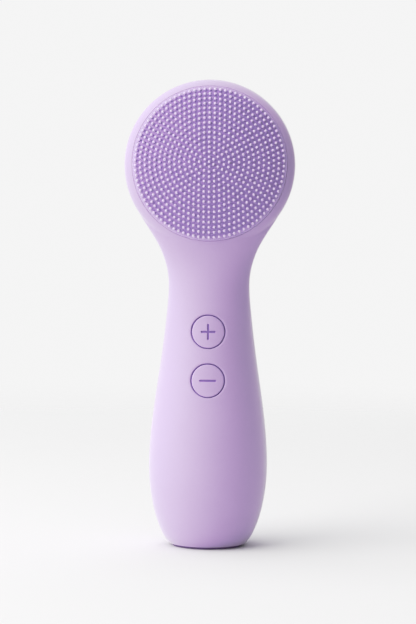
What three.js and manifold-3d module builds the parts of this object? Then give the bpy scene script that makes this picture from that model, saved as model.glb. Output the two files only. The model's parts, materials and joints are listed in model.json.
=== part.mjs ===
// A cordless facial cleansing brush: a hollow two-part housing that stands on its base, a domed silicone
// bristle pad in the tilted head, a vibration motor behind the pad, and the battery, board, buttons and
// charging contacts in the handle. Millimetres, +Z up, the front faces -Y, origin in the middle of the foot.
import * as THREE from "three";
import { mergeVertices } from "three/addons/utils/BufferGeometryUtils.js";
import Module from "manifold-3d";

const wasm = await Module();
wasm.setup();

// ---------------------------------------------------------------- driving dimensions
const HEAD_RADIUS = 29.85;
const HEAD_Z = 134.3; // height of the head's centre above the foot
const HEAD_Y = -6.5; // the head's centre stands this far in front of the handle's axis
const HEAD_TILT = THREE.MathUtils.degToRad(3); // the face leans back, so that it looks a little upwards
const HEAD_FRONT = 9.2; // depth of the head's front and rear domes, from its middle plane
const HEAD_REAR = 15;
const LENS_POWER = 2.5; // 2 would be an ellipse; more is flatter with a rounder rim
const JOIN_ANGLE = THREE.MathUtils.degToRad(-36); // below this the neck leaves the head's circle
const ROUNDNESS = 0.9; // the handle's depth as a share of its width
const BLEND_POWER = 8; // how tightly the neck and the head run into each other

// The handle's outline, [height as a share of its length up to the head's circle, half width].
const HANDLE_LENGTH = HEAD_Z - HEAD_RADIUS;
const HANDLE_OUTLINE = [
  [-0.014, 10.6], [0.008, 13.5], [0.038, 15.9], [0.105, 18.6], [0.191, 20.4], [0.277, 20.95], [0.382, 20.4],
  [0.506, 18.85], [0.63, 16.95], [0.763, 15.2], [0.878, 14.2], [0.945, 14.9], [1.016, 17.6],
];
const LEAN_START = 0.63; // share of that length at which the side seam starts to lean towards the head
// The neck's front and rear lines run on inside the head and fade there: [share of the length, y].
const NECK_STARTS = [0.763, 0.878]; // up to here they keep the handle's roundness
const NECK_FRONT_LINE = [[0.954, -12.45], [1.03, -12.9], [1.088, -12.4], [1.145, -10.5], [1.212, -8.2]];
const NECK_REAR_LINE = [[0.973, 11.6], [1.069, 8.9], [1.164, 5], [1.26, 0]];

const WALL = 1.8; // housing wall
const SEAM_GAP = 0.3; // between the two housing shells
const CLEARANCE = 0.3; // between pieces that are fitted into each other
const PLAY = 0.15; // round a pin in its hole

const PAD_RADIUS = 26.9; // silicone pad, at the foot of its edge
const PAD_EDGE = 5.2; // the pad's edge stands this far in front of the head's middle plane
const PAD_DOME = 4.4; // rise of the pad from its edge to its middle
const BRISTLE_LENGTH = 1.8;
const BRISTLE_MARGIN = 0.5; // bare edge round the bristles
const MEMBRANE = 1.4;
const CARRIER_THICKNESS = 1.6;
const LEDGE_WIDTH = 5; // ledge in the front shell that carries the pad's carrier
const LEDGE_TOP = 2.7; // its front face, from the head's middle plane
const LEDGE_THICKNESS = 1.6;
const CARRIER_SCREWS = 3;

const BUTTON_RADIUS = 5.6;
const BUTTON_GAP = 0.35; // the ring that shows round each button
const BUTTON_HEIGHTS = { plus: 76.2, minus: 59.35 };
const BUTTON_TRAVEL = 0.5;
const FLANGE_OVERHANG = 0.9; // the flange that keeps a button in its hole is wider than it by this
const FLANGE_THICKNESS = 0.8;
const STEM_RADIUS = 1.5;
const SYMBOL = { length: 5.4, stroke: 0.72, depth: 0.3 };

const BOARD = { width: 17, bottom: 17, thickness: 1, front: -5 };
const SWITCH = { side: 6, thickness: 1.9, bore: 1.9, plunger: 1.6, proud: 0.8, boreDepth: 1.3 };
const SOLDER = 0.1; // parts stand this far off the board
const CHASSIS = { width: 19, bottom: 3.6, aboveCell: 26.5, aboveBoard: 3, thickness: 1.5, front: -3.6 };
const WINDOW = { halfWidth: 5, aboveCell: 7, belowTop: 6 }; // opening in the chassis that leads pass through
const SHELF = { halfWidth: 6.5, thickness: 1.6, below: 2.4, above: 4 }; // under and over the cell
const RIM = { width: 1.2, depth: 2.5, bottom: 8, belowTop: 4 };
const SEAL = { thickness: 0.8, halfWidth: 0.6, behindWall: 0.9 };

const BATTERY = { radius: 7, length: 50, bottom: 13.5, nipple: 2.7, nippleHeight: 1 };
const batteryTop = BATTERY.bottom + BATTERY.length;
const chassisTop = batteryTop + CHASSIS.aboveCell;
const boardTop = chassisTop - CHASSIS.aboveBoard;
const SADDLE = { width: 4, wall: 1.4 };

const MOTOR = { radius: 6, length: 20, bottom: -15, depth: -3.4, shaftRadius: 0.75, shaftOut: 9.5 };
const SLEEVE = 1; // rubber round the motor
const WEIGHT = { radius: 5.6, length: 6.5, hub: 1.9, gap: 1.2 };
const CRADLE = { halfWidth: 12, length: 12, wall: 2, back: -12 };

const FOOT = { thickness: 0.7, inset: 1.1 };
const SHELL_BOTTOM = 0.8; // the housing's flat lower edge
const BASE_CAP = { thickness: 2.2, margin: 2.4, counterbore: 1.1 };
const CHARGER = { height: 27, width: 17, tall: 8, face: 17, depth: 3.6, pin: 1.25, pitch: 5.4 };
const MAGNET = { radius: 1.5, length: 2.2, pitch: 11.4 };
const WIRE_RADIUS = 0.45;

const ROUND = 32; // facets of the large round pieces
const SMALL_ROUND = 20;

// ---------------------------------------------------------------- colours
const finish = (color, roughness, metalness = 0) =>
  new THREE.MeshStandardMaterial({ color, roughness, metalness });
const FINISHES = {
  housing: finish(0xc8b0dc, 0.55),
  pad: finish(0xb49ad2, 0.5),
  button: finish(0xc8b0dc, 0.5),
  foot: finish(0x9b82b4, 0.8),
  rubber: finish(0x55505a, 0.85),
  innerPlastic: finish(0xe6e4e8, 0.6),
  steel: finish(0xb9bcc0, 0.35, 1),
  gold: finish(0xd9b25c, 0.3, 1),
  board: finish(0x1f6b45, 0.5),
  chip: finish(0x1c1c1f, 0.5),
  switchBlack: finish(0x242427, 0.5),
  led: finish(0xf5f2e8, 0.3),
  battery: finish(0x3d7fb8, 0.4),
  foam: finish(0x4a4a4e, 0.95),
  magnet: finish(0x9a9da2, 0.3, 1),
  redWire: finish(0xb5332e, 0.5),
  blackWire: finish(0x26262a, 0.5),
  blueWire: finish(0x2f55a0, 0.5),
};

// ---------------------------------------------------------------- solids and booleans
function toSolid(geometry) {
  const bare = geometry.clone();
  for (const name of Object.keys(bare.attributes)) if (name !== "position") bare.deleteAttribute(name);
  const merged = mergeVertices(bare, 1e-3);
  const vertProperties = merged.attributes.position.array;
  const triVerts = new Uint32Array(merged.index.array);
  return new wasm.Manifold(new wasm.Mesh({ numProp: 3, vertProperties, triVerts }));
}

function toGeometry(solid) {
  const { vertProperties, triVerts } = solid.getMesh();
  const geometry = new THREE.BufferGeometry();
  geometry.setAttribute("position", new THREE.BufferAttribute(new Float32Array(vertProperties), 3));
  geometry.setIndex(new THREE.BufferAttribute(new Uint32Array(triVerts), 1));
  return geometry;
}

const join = (first, ...rest) => toGeometry(rest.reduce((sum, g) => sum.add(toSolid(g)), toSolid(first)));
const cut = (first, ...tools) =>
  toGeometry(tools.reduce((left, g) => left.subtract(toSolid(g)), toSolid(first)));
const common = (first, second) => toGeometry(toSolid(first).intersect(toSolid(second)));

// A solid of revolution about Z from [radius, height] points, which run up the outside.
function turned(profile, segments = SMALL_ROUND) {
  const points = profile.map(([r, z]) => new THREE.Vector2(r, z));
  return new THREE.LatheGeometry(points, segments).rotateX(Math.PI / 2);
}

// A revolved ring whose section is closed.
const ringTurned = (profile, segments) => turned([...profile, profile[0]], segments);
const rectangle = (inner, outer, low, high) => [[inner, low], [outer, low], [outer, high], [inner, high]];

const cylinder = (radius, low, high, segments = SMALL_ROUND) =>
  turned([[0, low], [radius, low], [radius, high], [0, high]], segments);

// A box given by its lowest and highest corners.
function box(low, high) {
  const size = high.map((v, i) => v - low[i]);
  return new THREE.BoxGeometry(...size).translate(...low.map((v, i) => v + size[i] / 2));
}

const extruded = (shape, depth, curveSegments) =>
  new THREE.ExtrudeGeometry(shape, { depth, bevelEnabled: false, curveSegments });

// A flat plate with rounded corners in the XZ plane, from y = front backwards.
function plate({ width, bottom, top, front, thickness, corner = 1.5 }) {
  const [x, h] = [width / 2 - corner, top - bottom - 2 * corner];
  const shape = new THREE.Shape();
  shape.absarc(x, bottom + corner, corner, -Math.PI / 2, 0);
  shape.absarc(x, bottom + corner + h, corner, 0, Math.PI / 2);
  shape.absarc(-x, bottom + corner + h, corner, Math.PI / 2, Math.PI);
  shape.absarc(-x, bottom + corner, corner, Math.PI, Math.PI * 1.5);
  return extruded(shape, thickness, 4).rotateX(Math.PI / 2).translate(0, front + thickness, 0);
}

// Turns a piece made along +Z so that it points along -Y, with its foot at y = 0.
const facingFront = (geometry) => geometry.rotateX(Math.PI / 2);

// A round bar along Y through (x, z), from the distance near in front of y = 0 to the distance far.
const barAlongY = (radius, near, far, x, z, segments = 12) =>
  facingFront(cylinder(radius, near, far, segments)).translate(x, 0, z);

// A pan-head screw along Z: the head's underside at 0, the thread below it.
function screw(radius, length) {
  const [head, tall] = [radius * 1.8, radius * 1.1];
  const body = turned([[0, -length], [radius * 0.6, -length], [radius, -length + radius], [radius, 0],
    [head, 0], [head, tall * 0.5], [head * 0.7, tall], [0, tall]], 9);
  const slot = radius * 0.28;
  return cut(body, box([-head * 0.75, -slot, tall * 0.45], [head * 0.75, slot, tall * 2]));
}

// A wire through hand-picked points.
function wire(points, radius = WIRE_RADIUS) {
  const path = new THREE.CatmullRomCurve3(points.map((p) => new THREE.Vector3(...p)), false, "centripetal");
  const section = new THREE.Shape().absarc(0, 0, radius, 0, Math.PI * 2);
  const along = { extrudePath: path, steps: points.length * 2 };
  return new THREE.ExtrudeGeometry(section, { ...along, bevelEnabled: false, curveSegments: 4 });
}

// ---------------------------------------------------------------- the housing's outer surface
// Smooth curve through [height, value] points: cubic pieces, each end with the slope of the chord across it.
function through(table, z) {
  const last = table.length - 1;
  let i = 0;
  while (i < last - 1 && z > table[i + 1][0]) i += 1;
  const slopeAt = (k) => {
    const [a, b] = [table[Math.max(k - 1, 0)], table[Math.min(k + 1, last)]];
    return (b[1] - a[1]) / (b[0] - a[0]);
  };
  const [[z0, v0], [z1, v1]] = [table[i], table[i + 1]];
  const span = z1 - z0;
  const t = (z - z0) / span;
  const [t2, t3] = [t * t, t * t * t];
  return (2 * t3 - 3 * t2 + 1) * v0 + (t3 - 2 * t2 + t) * span * slopeAt(i)
    + (3 * t2 - 2 * t3) * v1 + (t3 - t2) * span * slopeAt(i + 1);
}

const JOIN_Z = HEAD_Z + HEAD_RADIUS * Math.sin(JOIN_ANGLE) * Math.cos(HEAD_TILT);
const onCircle = (angle) => [
  HEAD_Z + HEAD_RADIUS * Math.sin(angle) * Math.cos(HEAD_TILT),
  HEAD_RADIUS * Math.cos(angle),
];
const atHeights = (table) => table.map(([share, value]) => [share * HANDLE_LENGTH, value]);
const OUTLINE = [...atHeights(HANDLE_OUTLINE), onCircle(JOIN_ANGLE), onCircle(JOIN_ANGLE * 0.6)];
const alongHead = (z) => (z - HEAD_Z) / Math.cos(HEAD_TILT);
const headPlaneY = (z) => HEAD_Y + alongHead(z) * Math.sin(HEAD_TILT);

function halfWidth(z) {
  if (z <= JOIN_Z) return through(OUTLINE, z);
  return Math.sqrt(Math.max(HEAD_RADIUS ** 2 - alongHead(z) ** 2, 0));
}

// Share of the way from the handle's upright axis to the head's tilted plane.
const LEAN_Z = LEAN_START * HANDLE_LENGTH;
const leanShare = (z) => THREE.MathUtils.clamp((z - LEAN_Z) / (JOIN_Z - LEAN_Z), 0, 1);

// The side seam, which is also the widest line: upright in the handle, in the head's plane above the join.
function seamY(z) {
  if (z >= JOIN_Z) return headPlaneY(z);
  const s = leanShare(z);
  const rise = (s ** 3 - s ** 2) * (JOIN_Z - LEAN_Z) * Math.tan(HEAD_TILT);
  return headPlaneY(JOIN_Z) * (3 * s * s - 2 * s ** 3) + rise;
}

const leanAt = (z) => HEAD_TILT * THREE.MathUtils.smoothstep(z, LEAN_Z, JOIN_Z);

const neckLine = (side, beyond) => {
  const start = atHeights(NECK_STARTS.map((share) => [share, 0]));
  return [...start.map(([z]) => [z, side * ROUNDNESS * halfWidth(z)]), ...atHeights(beyond)];
};
const FRONT_LINE = neckLine(-1, NECK_FRONT_LINE);
const REAR_LINE = neckLine(1, NECK_REAR_LINE);

function handleLine(z, line, side) {
  if (z <= line[0][0]) return side * ROUNDNESS * halfWidth(z);
  return z < line[line.length - 1][0] ? through(line, z) : seamY(z);
}

// Depth of the surface in front of (side -1) or behind (side 1) the seam, at height z and distance x.
function depthAt(x, z, side) {
  const width = halfWidth(z);
  const line = side < 0 ? FRONT_LINE : REAR_LINE;
  const across = Math.sqrt(Math.max(1 - (x / Math.max(width, 1e-6)) ** 2, 0));
  const handle = Math.max(side * (handleLine(z, line, side) - seamY(z)), 0) * across;
  const reach = Math.min(Math.hypot(x, alongHead(z)) / HEAD_RADIUS, 1);
  const dome = (side < 0 ? HEAD_FRONT : HEAD_REAR) * (1 - reach ** LENS_POWER) ** (1 / LENS_POWER);
  return (handle ** BLEND_POWER + dome ** BLEND_POWER) ** (1 / BLEND_POWER);
}

function surfacePoint(x, z, side) {
  const [depth, lean] = [depthAt(x, z, side), leanAt(z)];
  return new THREE.Vector3(x, seamY(z) + side * depth * Math.cos(lean), z - side * depth * Math.sin(lean));
}

// Heights of the rings: close together at the base and the neck, then evenly round the head's circle.
function ringHeights(handleRings = 18, headRings = 12) {
  const low = OUTLINE[0][0];
  const heights = [];
  for (let i = 0; i < handleRings; i += 1) {
    const t = i / handleRings;
    heights.push(low + (JOIN_Z - low) * (t - (0.6 * Math.sin(2 * Math.PI * t)) / (2 * Math.PI)));
  }
  for (let i = 0; i <= headRings; i += 1) {
    heights.push(onCircle(JOIN_ANGLE + (Math.PI / 2 - JOIN_ANGLE) * (i / headRings))[0]);
  }
  return heights;
}

const HALF_RING = 12; // steps in each half of a ring
const RING = 2 * HALF_RING;

// The rings of the whole surface, from the +X seam round the front to the -X seam and back round the rear.
function bodyRings() {
  return ringHeights().map((z) => {
    const width = halfWidth(z);
    return Array.from({ length: RING }, (_, j) => {
      const angle = (j / HALF_RING) * Math.PI;
      return surfacePoint(width * Math.cos(angle), z, j <= HALF_RING ? -1 : 1);
    });
  });
}

// A closed mesh from faces of points; the points are merged later by place.
function fromTriangles(triangles) {
  const geometry = new THREE.BufferGeometry();
  geometry.setFromPoints(triangles.flat());
  return mergeVertices(geometry, 1e-4);
}

const quad = (a, b, c, d) => [[a, b, c], [a, c, d]];

// The whole body as one solid, closed flat at the bottom.
function bodySolid(rings) {
  const triangles = [];
  for (let i = 0; i + 1 < rings.length; i += 1) {
    for (let j = 0; j < RING; j += 1) {
      const k = (j + 1) % RING;
      triangles.push(...quad(rings[i][j], rings[i + 1][j], rings[i + 1][k], rings[i][k]));
    }
  }
  const centre = new THREE.Vector3(0, 0, rings[0][0].z);
  for (let j = 0; j < RING; j += 1) triangles.push([centre, rings[0][j], rings[0][(j + 1) % RING]]);
  return fromTriangles(triangles.filter(([a, b, c]) => hasArea(a, b, c)));
}

const hasArea = (a, b, c) => a.distanceTo(b) > 1e-4 && b.distanceTo(c) > 1e-4 && c.distanceTo(a) > 1e-4;

// The same rings moved inwards along the surface's normals.
function movedIn(rings, distance) {
  const across = new THREE.Vector3();
  const along = new THREE.Vector3();
  const last = rings.length - 1;
  const headUp = new THREE.Vector3(0, Math.sin(HEAD_TILT), Math.cos(HEAD_TILT));
  return rings.map((ring, i) => ring.map((point, j) => {
    if (i === last) return point.clone().addScaledVector(headUp, -distance);
    across.subVectors(ring[(j + 1) % RING], ring[(j + RING - 1) % RING]);
    along.subVectors(rings[i + 1][j], rings[Math.max(i - 1, 0)][j]);
    return point.clone().addScaledVector(along.cross(across).normalize(), -distance);
  }));
}

// One half of the housing: the skin between the outer and the inner rings, from seam to seam.
function shellHalf(outer, inner, side) {
  const first = side < 0 ? 0 : HALF_RING;
  const shift = (side * SEAM_GAP) / 2;
  const pick = (rings) => rings.map((ring) => Array.from({ length: HALF_RING + 1 }, (_, j) => {
    const point = ring[(first + j) % RING].clone();
    if (j === 0 || j === HALF_RING) point.y += shift;
    return point;
  }));
  const [skin, lining] = [pick(outer), pick(inner)];
  const top = skin.length - 1;
  const end = HALF_RING;
  for (const rows of [skin, lining]) for (const point of rows[top]) point.copy(rows[top][0]);
  const triangles = [];
  for (let i = 0; i < top; i += 1) {
    for (let j = 0; j < HALF_RING; j += 1) {
      triangles.push(...quad(skin[i][j], skin[i + 1][j], skin[i + 1][j + 1], skin[i][j + 1]));
      triangles.push(...quad(lining[i][j], lining[i][j + 1], lining[i + 1][j + 1], lining[i + 1][j]));
    }
    triangles.push(...quad(skin[i][0], lining[i][0], lining[i + 1][0], skin[i + 1][0]));
    triangles.push(...quad(skin[i][end], skin[i + 1][end], lining[i + 1][end], lining[i][end]));
  }
  for (let j = 0; j < HALF_RING; j += 1) {
    triangles.push(...quad(skin[0][j], skin[0][j + 1], lining[0][j + 1], lining[0][j]));
  }
  return fromTriangles(triangles.filter(([a, b, c]) => hasArea(a, b, c)));
}

const outerRings = bodyRings();
const innerRings = movedIn(outerRings, WALL);
const wholeBody = bodySolid(outerRings);

// ---------------------------------------------------------------- the head's own frame
// Its origin is the head's centre, +Z runs up the head and -Y is the way the face looks.
const headFrame = new THREE.Matrix4()
  .makeTranslation(0, HEAD_Y, HEAD_Z)
  .multiply(new THREE.Matrix4().makeRotationX(-HEAD_TILT));
const inHead = (geometry) => geometry.clone().applyMatrix4(headFrame);

// ---------------------------------------------------------------- housing
const PAD_OPENING = PAD_RADIUS + BUTTON_GAP;
const LEDGE_INNER = PAD_OPENING - LEDGE_WIDTH;
const CARRIER_RADIUS = PAD_RADIUS - MEMBRANE - CLEARANCE;
const BOSS = { radius: 1.5, height: 1 };
const SCREW_CIRCLE = CARRIER_RADIUS - BOSS.radius - 0.4;
const SCREW = { radius: 0.7, length: 4.5 };

const FAR = 60; // beyond the housing on every side
const belowHousing = box([-FAR, -FAR, -FAR], [FAR, FAR, SHELL_BOTTOM]);
const baseOpening = ellipticCylinder(CLEARANCE, SHELL_BOTTOM - 5, SHELL_BOTTOM + BASE_CAP.thickness + 0.5);

// An upright cylinder of the base cap's outline, larger than it by grow.
function ellipticCylinder(grow, low, high) {
  const radius = halfWidth(SHELL_BOTTOM) - BASE_CAP.margin + grow;
  return cylinder(radius, low, high, ROUND).scale(1, (radius * ROUNDNESS) / radius, 1);
}

const BUTTON_ROUND = 28;
const buttonHole = (height) => barAlongY(BUTTON_RADIUS + BUTTON_GAP, 5, FAR, 0, height, BUTTON_ROUND);

const screwPlaces = Array.from({ length: CARRIER_SCREWS }, (_, i) => {
  const angle = Math.PI / 6 + (i * 2 * Math.PI) / CARRIER_SCREWS;
  return [SCREW_CIRCLE * Math.cos(angle), SCREW_CIRCLE * Math.sin(angle)];
});

// Everything behind the seam, and in front of it by lift, across the whole width.
function behindSeam(lift) {
  const shape = new THREE.Shape();
  shape.moveTo(FAR, -FAR);
  for (const z of ringHeights()) shape.lineTo(seamY(z) - lift, z);
  shape.lineTo(seamY(HEAD_Z + 2 * HEAD_RADIUS) - lift, HEAD_Z + 2 * HEAD_RADIUS);
  shape.lineTo(FAR, HEAD_Z + 2 * HEAD_RADIUS);
  // The shape lies in XY; this puts its X along Y and its Y along Z.
  return extruded(shape, 2 * FAR, 1).rotateX(Math.PI / 2).rotateZ(Math.PI / 2).translate(-FAR, 0, 0);
}

function frontShell() {
  const opening = inHead(facingFront(cylinder(PAD_OPENING, LEDGE_TOP, FAR, ROUND)));
  const low = LEDGE_TOP - LEDGE_THICKNESS;
  const ring = ringTurned(rectangle(LEDGE_INNER, HEAD_RADIUS, low, LEDGE_TOP), ROUND);
  const withinSkin = common(inHead(facingFront(ring)), bodySolid(movedIn(outerRings, WALL / 2)));
  const ledge = cut(withinSkin, behindSeam(SEAL.halfWidth + 3 * CLEARANCE));
  const holes = screwPlaces.map(([x, z]) => inHead(barAlongY(SCREW.radius + PLAY, -5, 5, x, z, 10)));
  const skin = join(shellHalf(outerRings, innerRings, -1), ledge);
  return cut(skin, opening, ...holes, belowHousing, baseOpening,
    buttonHole(BUTTON_HEIGHTS.plus), buttonHole(BUTTON_HEIGHTS.minus));
}

// The stadium outline of the charging socket as a bar along Y, larger than the block by grow.
function chargerBar(grow, near, far) {
  const [half, radius] = [(CHARGER.width - CHARGER.tall) / 2, CHARGER.tall / 2 + grow];
  const shape = new THREE.Shape();
  shape.absarc(half, 0, radius, -Math.PI / 2, Math.PI / 2);
  shape.absarc(-half, 0, radius, Math.PI / 2, Math.PI * 1.5);
  return extruded(shape, far - near, 8).rotateX(Math.PI / 2).translate(0, far, CHARGER.height);
}

function rearShell() {
  return cut(shellHalf(outerRings, innerRings, 1), belowHousing, baseOpening, chargerBar(CLEARANCE, 5, FAR));
}

// A thin strip inside the seam, from the base over the head and down again.
function seamSeal() {
  const half = SEAL.halfWidth;
  const near = WALL + SEAL.behindWall;
  const [outside, inside] = [movedIn(outerRings, near), movedIn(outerRings, near + SEAL.thickness)];
  const path = [];
  const top = outerRings.length - 1;
  for (let i = 2; i <= top; i += 1) path.push([outside[i][0], inside[i][0]]);
  for (let i = top - 1; i >= 2; i -= 1) path.push([outside[i][HALF_RING], inside[i][HALF_RING]]);
  const sections = path.map(([a, b]) => [[a, -half], [a, half], [b, half], [b, -half]]
    .map(([p, y]) => p.clone().add(new THREE.Vector3(0, y, 0))));
  const triangles = [];
  for (let i = 0; i + 1 < sections.length; i += 1) {
    for (let j = 0; j < 4; j += 1) {
      const k = (j + 1) % 4;
      triangles.push(...quad(sections[i][j], sections[i][k], sections[i + 1][k], sections[i + 1][j]));
    }
  }
  const [start, end] = [sections[0], sections[sections.length - 1]];
  triangles.push(...quad(start[3], start[2], start[1], start[0]), ...quad(end[0], end[1], end[2], end[3]));
  return fromTriangles(triangles);
}

// ---------------------------------------------------------------- pad, in the head's frame, made along +Z
const domeAt = (r) => PAD_EDGE + PAD_DOME * (1 - (r / PAD_RADIUS) ** 2);

function domePoints(low, high, lift, count) {
  return Array.from({ length: count + 1 }, (_, i) => {
    const r = low + ((high - low) * i) / count;
    return [r, domeAt(r) + lift];
  });
}

// The pad as a closed skin: the membrane, its skirt and the space that the bristles fill.
function bristlePad() {
  const field = PAD_RADIUS - BRISTLE_MARGIN;
  const skirtInner = PAD_RADIUS - MEMBRANE;
  const skirtFoot = LEDGE_TOP + CLEARANCE + 0.9;
  return turned([
    ...domePoints(0, skirtInner, -MEMBRANE, 4),
    [skirtInner, skirtFoot], [PAD_RADIUS, skirtFoot], [PAD_RADIUS, PAD_EDGE], [field, domeAt(field)],
    ...domePoints(0, field, BRISTLE_LENGTH, 6).reverse(),
  ], ROUND);
}

function padCarrier() {
  const top = -MEMBRANE - CLEARANCE;
  const foot = LEDGE_TOP + CLEARANCE;
  const plain = turned([
    ...domePoints(0, CARRIER_RADIUS - 2, top - CARRIER_THICKNESS, 4),
    [CARRIER_RADIUS - 2, foot], [CARRIER_RADIUS, foot],
    ...domePoints(0, CARRIER_RADIUS, top, 4).reverse(),
  ], ROUND);
  const posts = (radius, low, high) =>
    screwPlaces.map(([x, z]) => cylinder(radius, low, high, 12).translate(x, z, 0));
  const solid = join(plain, ...posts(BOSS.radius, foot, foot + BOSS.height));
  return cut(solid, ...posts(SCREW.radius + PLAY, foot - 1, foot + BOSS.height));
}

function padSeal() {
  const [middle, radius] = [PAD_RADIUS - MEMBRANE / 2, 0.42];
  const height = LEDGE_TOP + CLEARANCE / 2 + radius + 0.1;
  const section = Array.from({ length: 8 }, (_, i) => {
    const a = (i * Math.PI) / 4;
    return [middle + radius * Math.cos(a), height + radius * Math.sin(a)];
  });
  return ringTurned(section, ROUND);
}

// ---------------------------------------------------------------- buttons
const FLANGE_RADIUS = BUTTON_RADIUS + FLANGE_OVERHANG;
// The flange's front face clears the wall's inside at the flange's edge, where the wall curves back.
const WALL_ALONG_Y = 1.2 * WALL;
const flangeFront = surfacePoint(FLANGE_RADIUS, BUTTON_HEIGHTS.plus, -1).y + WALL_ALONG_Y + CLEARANCE;
const flangeRear = flangeFront + FLANGE_THICKNESS;
const switchFront = BOARD.front - SOLDER - SWITCH.thickness;
const plungerFront = switchFront - SWITCH.proud;
const stemEnd = plungerFront - CLEARANCE;
const GASKET = { width: 15, thickness: 0.8, margin: 1.5, gap: 0.2 };

// y is negative towards the front, so a bar's near and far distances are the negated places.
function buttonCap(height, strokes) {
  const bar = barAlongY(BUTTON_RADIUS, -flangeFront - 0.1, FAR, 0, height, BUTTON_ROUND);
  const crown = common(bar, wholeBody);
  const flange = barAlongY(FLANGE_RADIUS, -flangeRear, -flangeFront, 0, height, BUTTON_ROUND);
  const stem = barAlongY(STEM_RADIUS, -stemEnd, -flangeFront, 0, height);
  const face = surfacePoint(0, height, -1).y;
  const engraved = strokes.map(([wide, tall]) =>
    box([-wide / 2, face - 1, height - tall / 2], [wide / 2, face + SYMBOL.depth, height + tall / 2]));
  return cut(join(crown, flange, stem), ...engraved);
}

function buttonGasket() {
  const margin = FLANGE_RADIUS + GASKET.margin;
  const sheet = plate({
    width: GASKET.width,
    bottom: BUTTON_HEIGHTS.minus - margin,
    top: BUTTON_HEIGHTS.plus + margin,
    front: flangeRear + BUTTON_TRAVEL + GASKET.gap,
    thickness: GASKET.thickness,
    corner: 3,
  });
  const stemHole = (height) => barAlongY(STEM_RADIUS + CLEARANCE, 0, FAR, 0, height);
  return cut(sheet, ...Object.values(BUTTON_HEIGHTS).map(stemHole));
}

// ---------------------------------------------------------------- board and what stands on it
const screwHolesAt = (places) => places.map(([x, z]) => barAlongY(SCREW.radius + PLAY, -20, 20, x, z, 10));

function circuitBoard() {
  const board = plate({ ...BOARD, top: boardTop });
  return cut(board, ...screwHolesAt(boardScrewPlaces));
}

const boardScrewPlaces = [[-BOARD.width / 2 + 2.2, BOARD.bottom + 3], [BOARD.width / 2 - 2.2, boardTop - 3]];

function switchBody(height) {
  const half = SWITCH.side / 2;
  const block = box([-half, switchFront, height - half], [half, BOARD.front - SOLDER, height + half]);
  const bore = barAlongY(SWITCH.bore, -switchFront - SWITCH.boreDepth, FAR, 0, height, 16);
  return cut(block, bore);
}

const switchPlunger = (height) => barAlongY(SWITCH.plunger, -switchFront - 0.6, -plungerFront, 0, height, 16);

// A chip package with its legs as two comb-like rows.
function chip(x, z, wide, tall, thick, legs) {
  const front = BOARD.front - SOLDER - thick;
  const legPitch = tall / legs;
  const half = wide / 2;
  const reach = half + 0.8;
  const legBoxes = Array.from({ length: legs }, (_, i) => {
    const middle = z - tall / 2 + legPitch * (i + 0.5);
    return box([x - reach, front + thick - 0.35, middle - 0.2], [x + reach, front + thick, middle + 0.2]);
  });
  const block = box([x - half, front, z - tall / 2], [x + half, front + thick - 0.1, z + tall / 2]);
  return join(block, ...legBoxes);
}

function statusLed() {
  const [half, height, rear] = [0.8, 52, BOARD.front - SOLDER];
  return box([-half, rear - half, height - half], [half, rear, height + half]);
}

// ---------------------------------------------------------------- chassis and battery
const batteryY = CHASSIS.front + CHASSIS.thickness + CLEARANCE + BATTERY.radius;
const saddleHeights = [BATTERY.bottom + 8, batteryTop - 8];

function saddle(height) {
  const radius = BATTERY.radius + CLEARANCE;
  const half = SADDLE.width / 2;
  const arc = ringTurned([[radius, height - half], [radius + SADDLE.wall, height - half],
    [radius + SADDLE.wall, height + half], [radius, height + half]], 24).translate(0, batteryY, 0);
  const open = box([-20, batteryY + radius * 0.55, height - 10], [20, 30, height + 10]);
  return cut(arc, open);
}

const chassisRear = CHASSIS.front + CHASSIS.thickness;
const windowBottom = batteryTop + WINDOW.aboveCell;
const INTO = 0.5; // a rib starts this deep inside the sheet that it stands on

const shelf = (z) => box(
  [-SHELF.halfWidth, chassisRear - INTO, z - SHELF.thickness / 2],
  [SHELF.halfWidth, batteryY + 2, z + SHELF.thickness / 2],
);

function chassisRim(side) {
  const [a, b] = [side * (CHASSIS.width / 2), side * (CHASSIS.width / 2 - RIM.width)].sort((p, q) => p - q);
  return box([a, chassisRear - INTO, RIM.bottom], [b, chassisRear + RIM.depth, chassisTop - RIM.belowTop]);
}

function chassis() {
  const sheet = plate({ ...CHASSIS, top: chassisTop, corner: 3 });
  const window = box(
    [-WINDOW.halfWidth, CHASSIS.front - 1, windowBottom],
    [WINDOW.halfWidth, chassisRear + 1, chassisTop - WINDOW.belowTop],
  );
  const shelves = [BATTERY.bottom - SHELF.below, batteryTop + SHELF.above].map(shelf);
  const footPlate = box([-7.5, CHASSIS.front, CHASSIS.bottom], [7.5, 6, CHASSIS.bottom + 2]);
  const standoff = -BOARD.front - BOARD.thickness - SOLDER;
  const posts = boardScrewPlaces.map(([x, z]) => barAlongY(1.7, 3, standoff, x, z));
  const baseBore = ([x, y]) => cylinder(SCREW.radius + PLAY, 0, 9, 10).translate(x, y, 0);
  const ribs = [...saddleHeights.map(saddle), ...shelves, chassisRim(-1), chassisRim(1), footPlate, ...posts];
  const bores = [...screwHolesAt(boardScrewPlaces), ...baseScrewPlaces.map(baseBore)];
  return cut(join(sheet, ...ribs), window, ...bores);
}

const baseScrewPlaces = [[-4.6, 2], [4.6, 2]];

function batteryCell() {
  const [r, low, high] = [BATTERY.radius, BATTERY.bottom, batteryTop];
  const [edge, crimp, tip] = [0.6, 0.35, high + BATTERY.nippleHeight];
  const groove = [[r, high - 2.2], [r - crimp, high - 1.9], [r - crimp, high - 1.5], [r, high - 1.2]];
  const end = [[r, high - edge], [r - edge, high], [BATTERY.nipple, high], [BATTERY.nipple, tip], [0, tip]];
  const profile = [[0, low], [r - edge, low], [r, low + edge], ...groove, ...end];
  return turned(profile, 28).translate(0, batteryY, 0);
}

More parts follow.
